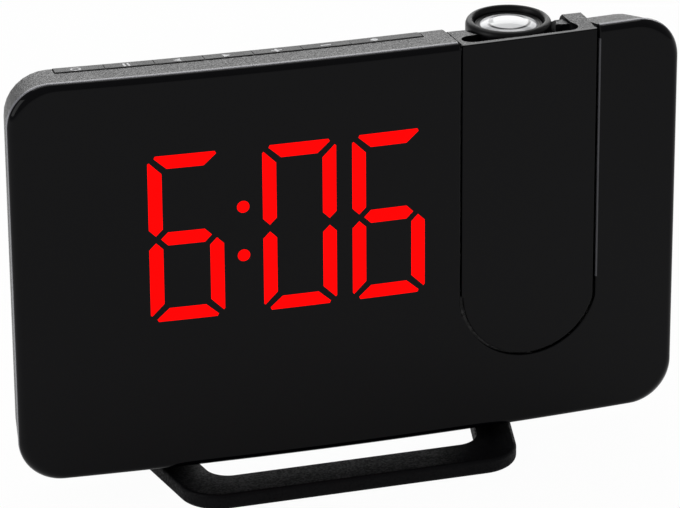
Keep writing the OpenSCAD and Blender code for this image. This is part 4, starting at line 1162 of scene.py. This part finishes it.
@dataclass
class Studio:
    """Camera, lamps and the pale floor."""

    lens_mm: float = 236.74
    azimuth: float = -16.04
    elevation: float = 23.68
    roll: float = -0.40
    reach_mm: Tuple[float, float, float] = (1216.2, -4.194, 0.447)
    face_centre_mm: Tuple[float, float, float] = (0.0, -12.3, 67.04)
    floor_in_gloss: float = 0.35
    floor_white: float = 0.97
    floor_half: float = 6.0
    room_light: float = 0.3

    def camera(self) -> None:
        """Places the camera at the photograph's viewing angle."""
        a, e, t = (math.radians(v) for v in (self.azimuth, self.elevation, self.roll))
        back = Vector((math.sin(a) * math.cos(e), -math.cos(a) * math.cos(e), math.sin(e)))
        flat = Vector((math.cos(a), math.sin(a), 0.0))
        upright = back.cross(flat)
        right = flat * math.cos(t) + upright * math.sin(t)
        up = upright * math.cos(t) - flat * math.sin(t)
        spot = Vector(self.face_centre_mm) + back * self.reach_mm[0] + right * self.reach_mm[1] + up * self.reach_mm[2]
        data = bpy.data.cameras.new("view")
        data.lens, data.sensor_width = self.lens_mm, 36.0
        data.clip_start, data.clip_end = 0.05, 20.0
        cam = bpy.data.objects.new("view", data)
        cam.matrix_world = Matrix((
            (right.x, up.x, back.x, spot.x * MM), (right.y, up.y, back.y, spot.y * MM),
            (right.z, up.z, back.z, spot.z * MM), (0, 0, 0, 1)))
        bpy.context.scene.collection.objects.link(cam)
        bpy.context.scene.camera = cam

    def lamp(self, name: str, place: Tuple[float, float, float], size: Tuple[float, float], power: float) -> None:
        """Hangs a rectangular soft lamp that looks at the clock.

        Args:
            name: The lamp's name.
            place: Where it hangs, in metres.
            size: Its width and height, in metres.
            power: Its power in watts.
        """
        data = bpy.data.lights.new(name, "AREA")
        data.shape, data.size, data.size_y, data.energy = "RECTANGLE", size[0], size[1], power
        obj = bpy.data.objects.new(name, data)
        obj.location = place
        obj.rotation_mode = "QUATERNION"
        obj.rotation_quaternion = (Vector((0, 0, 0.06)) - Vector(place)).to_track_quat("-Z", "Y")
        obj.visible_camera = False
        bpy.context.scene.collection.objects.link(obj)

    def floor(self) -> None:
        """Lays a pale floor that looks white to the camera and in gloss, and keeps the clock's shadow."""
        corners = self.floor_half * np.array([[-1.0, -1, 0], [1, -1, 0], [1, 1, 0], [-1, 1, 0]])
        floor = mesh_object("floor", corners, [[0, 1, 2, 3]])
        mat = bpy.data.materials.new("paper_sweep_white")
        mat.use_nodes = True
        tree = mat.node_tree
        tree.nodes.clear()
        paper = add_node(tree, "ShaderNodeBsdfDiffuse", {"Color": linear("#f4f4f4")})
        white = add_node(tree, "ShaderNodeEmission", {"Color": (1, 1, 1, 1), "Strength": 1.0})
        rays = add_node(tree, "ShaderNodeLightPath")
        gloss = add_node(tree, "ShaderNodeMath", {"operation": "MULTIPLY", 1: self.floor_in_gloss},
                         {0: rays.outputs["Is Glossy Ray"]})
        seen = add_node(tree, "ShaderNodeMath", {"operation": "MAXIMUM"},
                        {0: rays.outputs["Is Camera Ray"], 1: gloss.outputs[0]})
        shown = add_node(tree, "ShaderNodeMath", {"operation": "MAXIMUM"},
                         {0: seen.outputs[0], 1: rays.outputs["Is Transmission Ray"]})
        share = add_node(tree, "ShaderNodeMath", {"operation": "MULTIPLY", 1: self.floor_white}, {0: shown.outputs[0]})
        mix = add_node(tree, "ShaderNodeMixShader",
                       links={0: share.outputs[0], 1: paper.outputs[0], 2: white.outputs[0]})
        add_node(tree, "ShaderNodeOutputMaterial", links={"Surface": mix.outputs[0]})
        floor.data.materials.append(mat)

    def world(self) -> None:
        """Fills the room with even light, shown white to the camera."""
        world = bpy.data.worlds.new("room")
        bpy.context.scene.world = world
        world.use_nodes = True
        tree = world.node_tree
        tree.nodes.clear()
        rays = add_node(tree, "ShaderNodeLightPath")
        soft = add_node(tree, "ShaderNodeBackground", {"Color": (1, 1, 1, 1), "Strength": self.room_light})
        white = add_node(tree, "ShaderNodeBackground", {"Color": (1, 1, 1, 1), "Strength": 1.0})
        mix = add_node(tree, "ShaderNodeMixShader",
                       links={0: rays.outputs["Is Camera Ray"], 1: soft.outputs[0], 2: white.outputs[0]})
        add_node(tree, "ShaderNodeOutputWorld", links={"Surface": mix.outputs[0]})

    def light(self) -> None:
        """Sets up lamps, world, floor and the plain colour transform."""
        bpy.context.scene.view_settings.view_transform = "Standard"
        self.lamp("back_sweep", (0.6, 2.2, 1.0), (3.0, 1.3), 27.0)
        self.lamp("overhead", (0.0, 0.5, 1.3), (1.4, 0.7), 6.0)
        self.lamp("left_fill", (-1.2, -0.2, 0.55), (0.7, 0.7), 3.0)
        self.floor()
        self.world()


# ---------------------------------------------------------------- main


def main() -> None:
    """Builds the dressed clock, sub-assembly by sub-assembly, then the studio round it."""
    logging.basicConfig(level=logging.INFO)
    studio = Studio()
    studio.camera()
    FacePanel().build()
    Display().build()
    Casing().build()
    KeyStrip().build()
    Projector().build()
    Stand().build()
    Inside().build()
    studio.light()


if __name__ == "__main__":
    main()
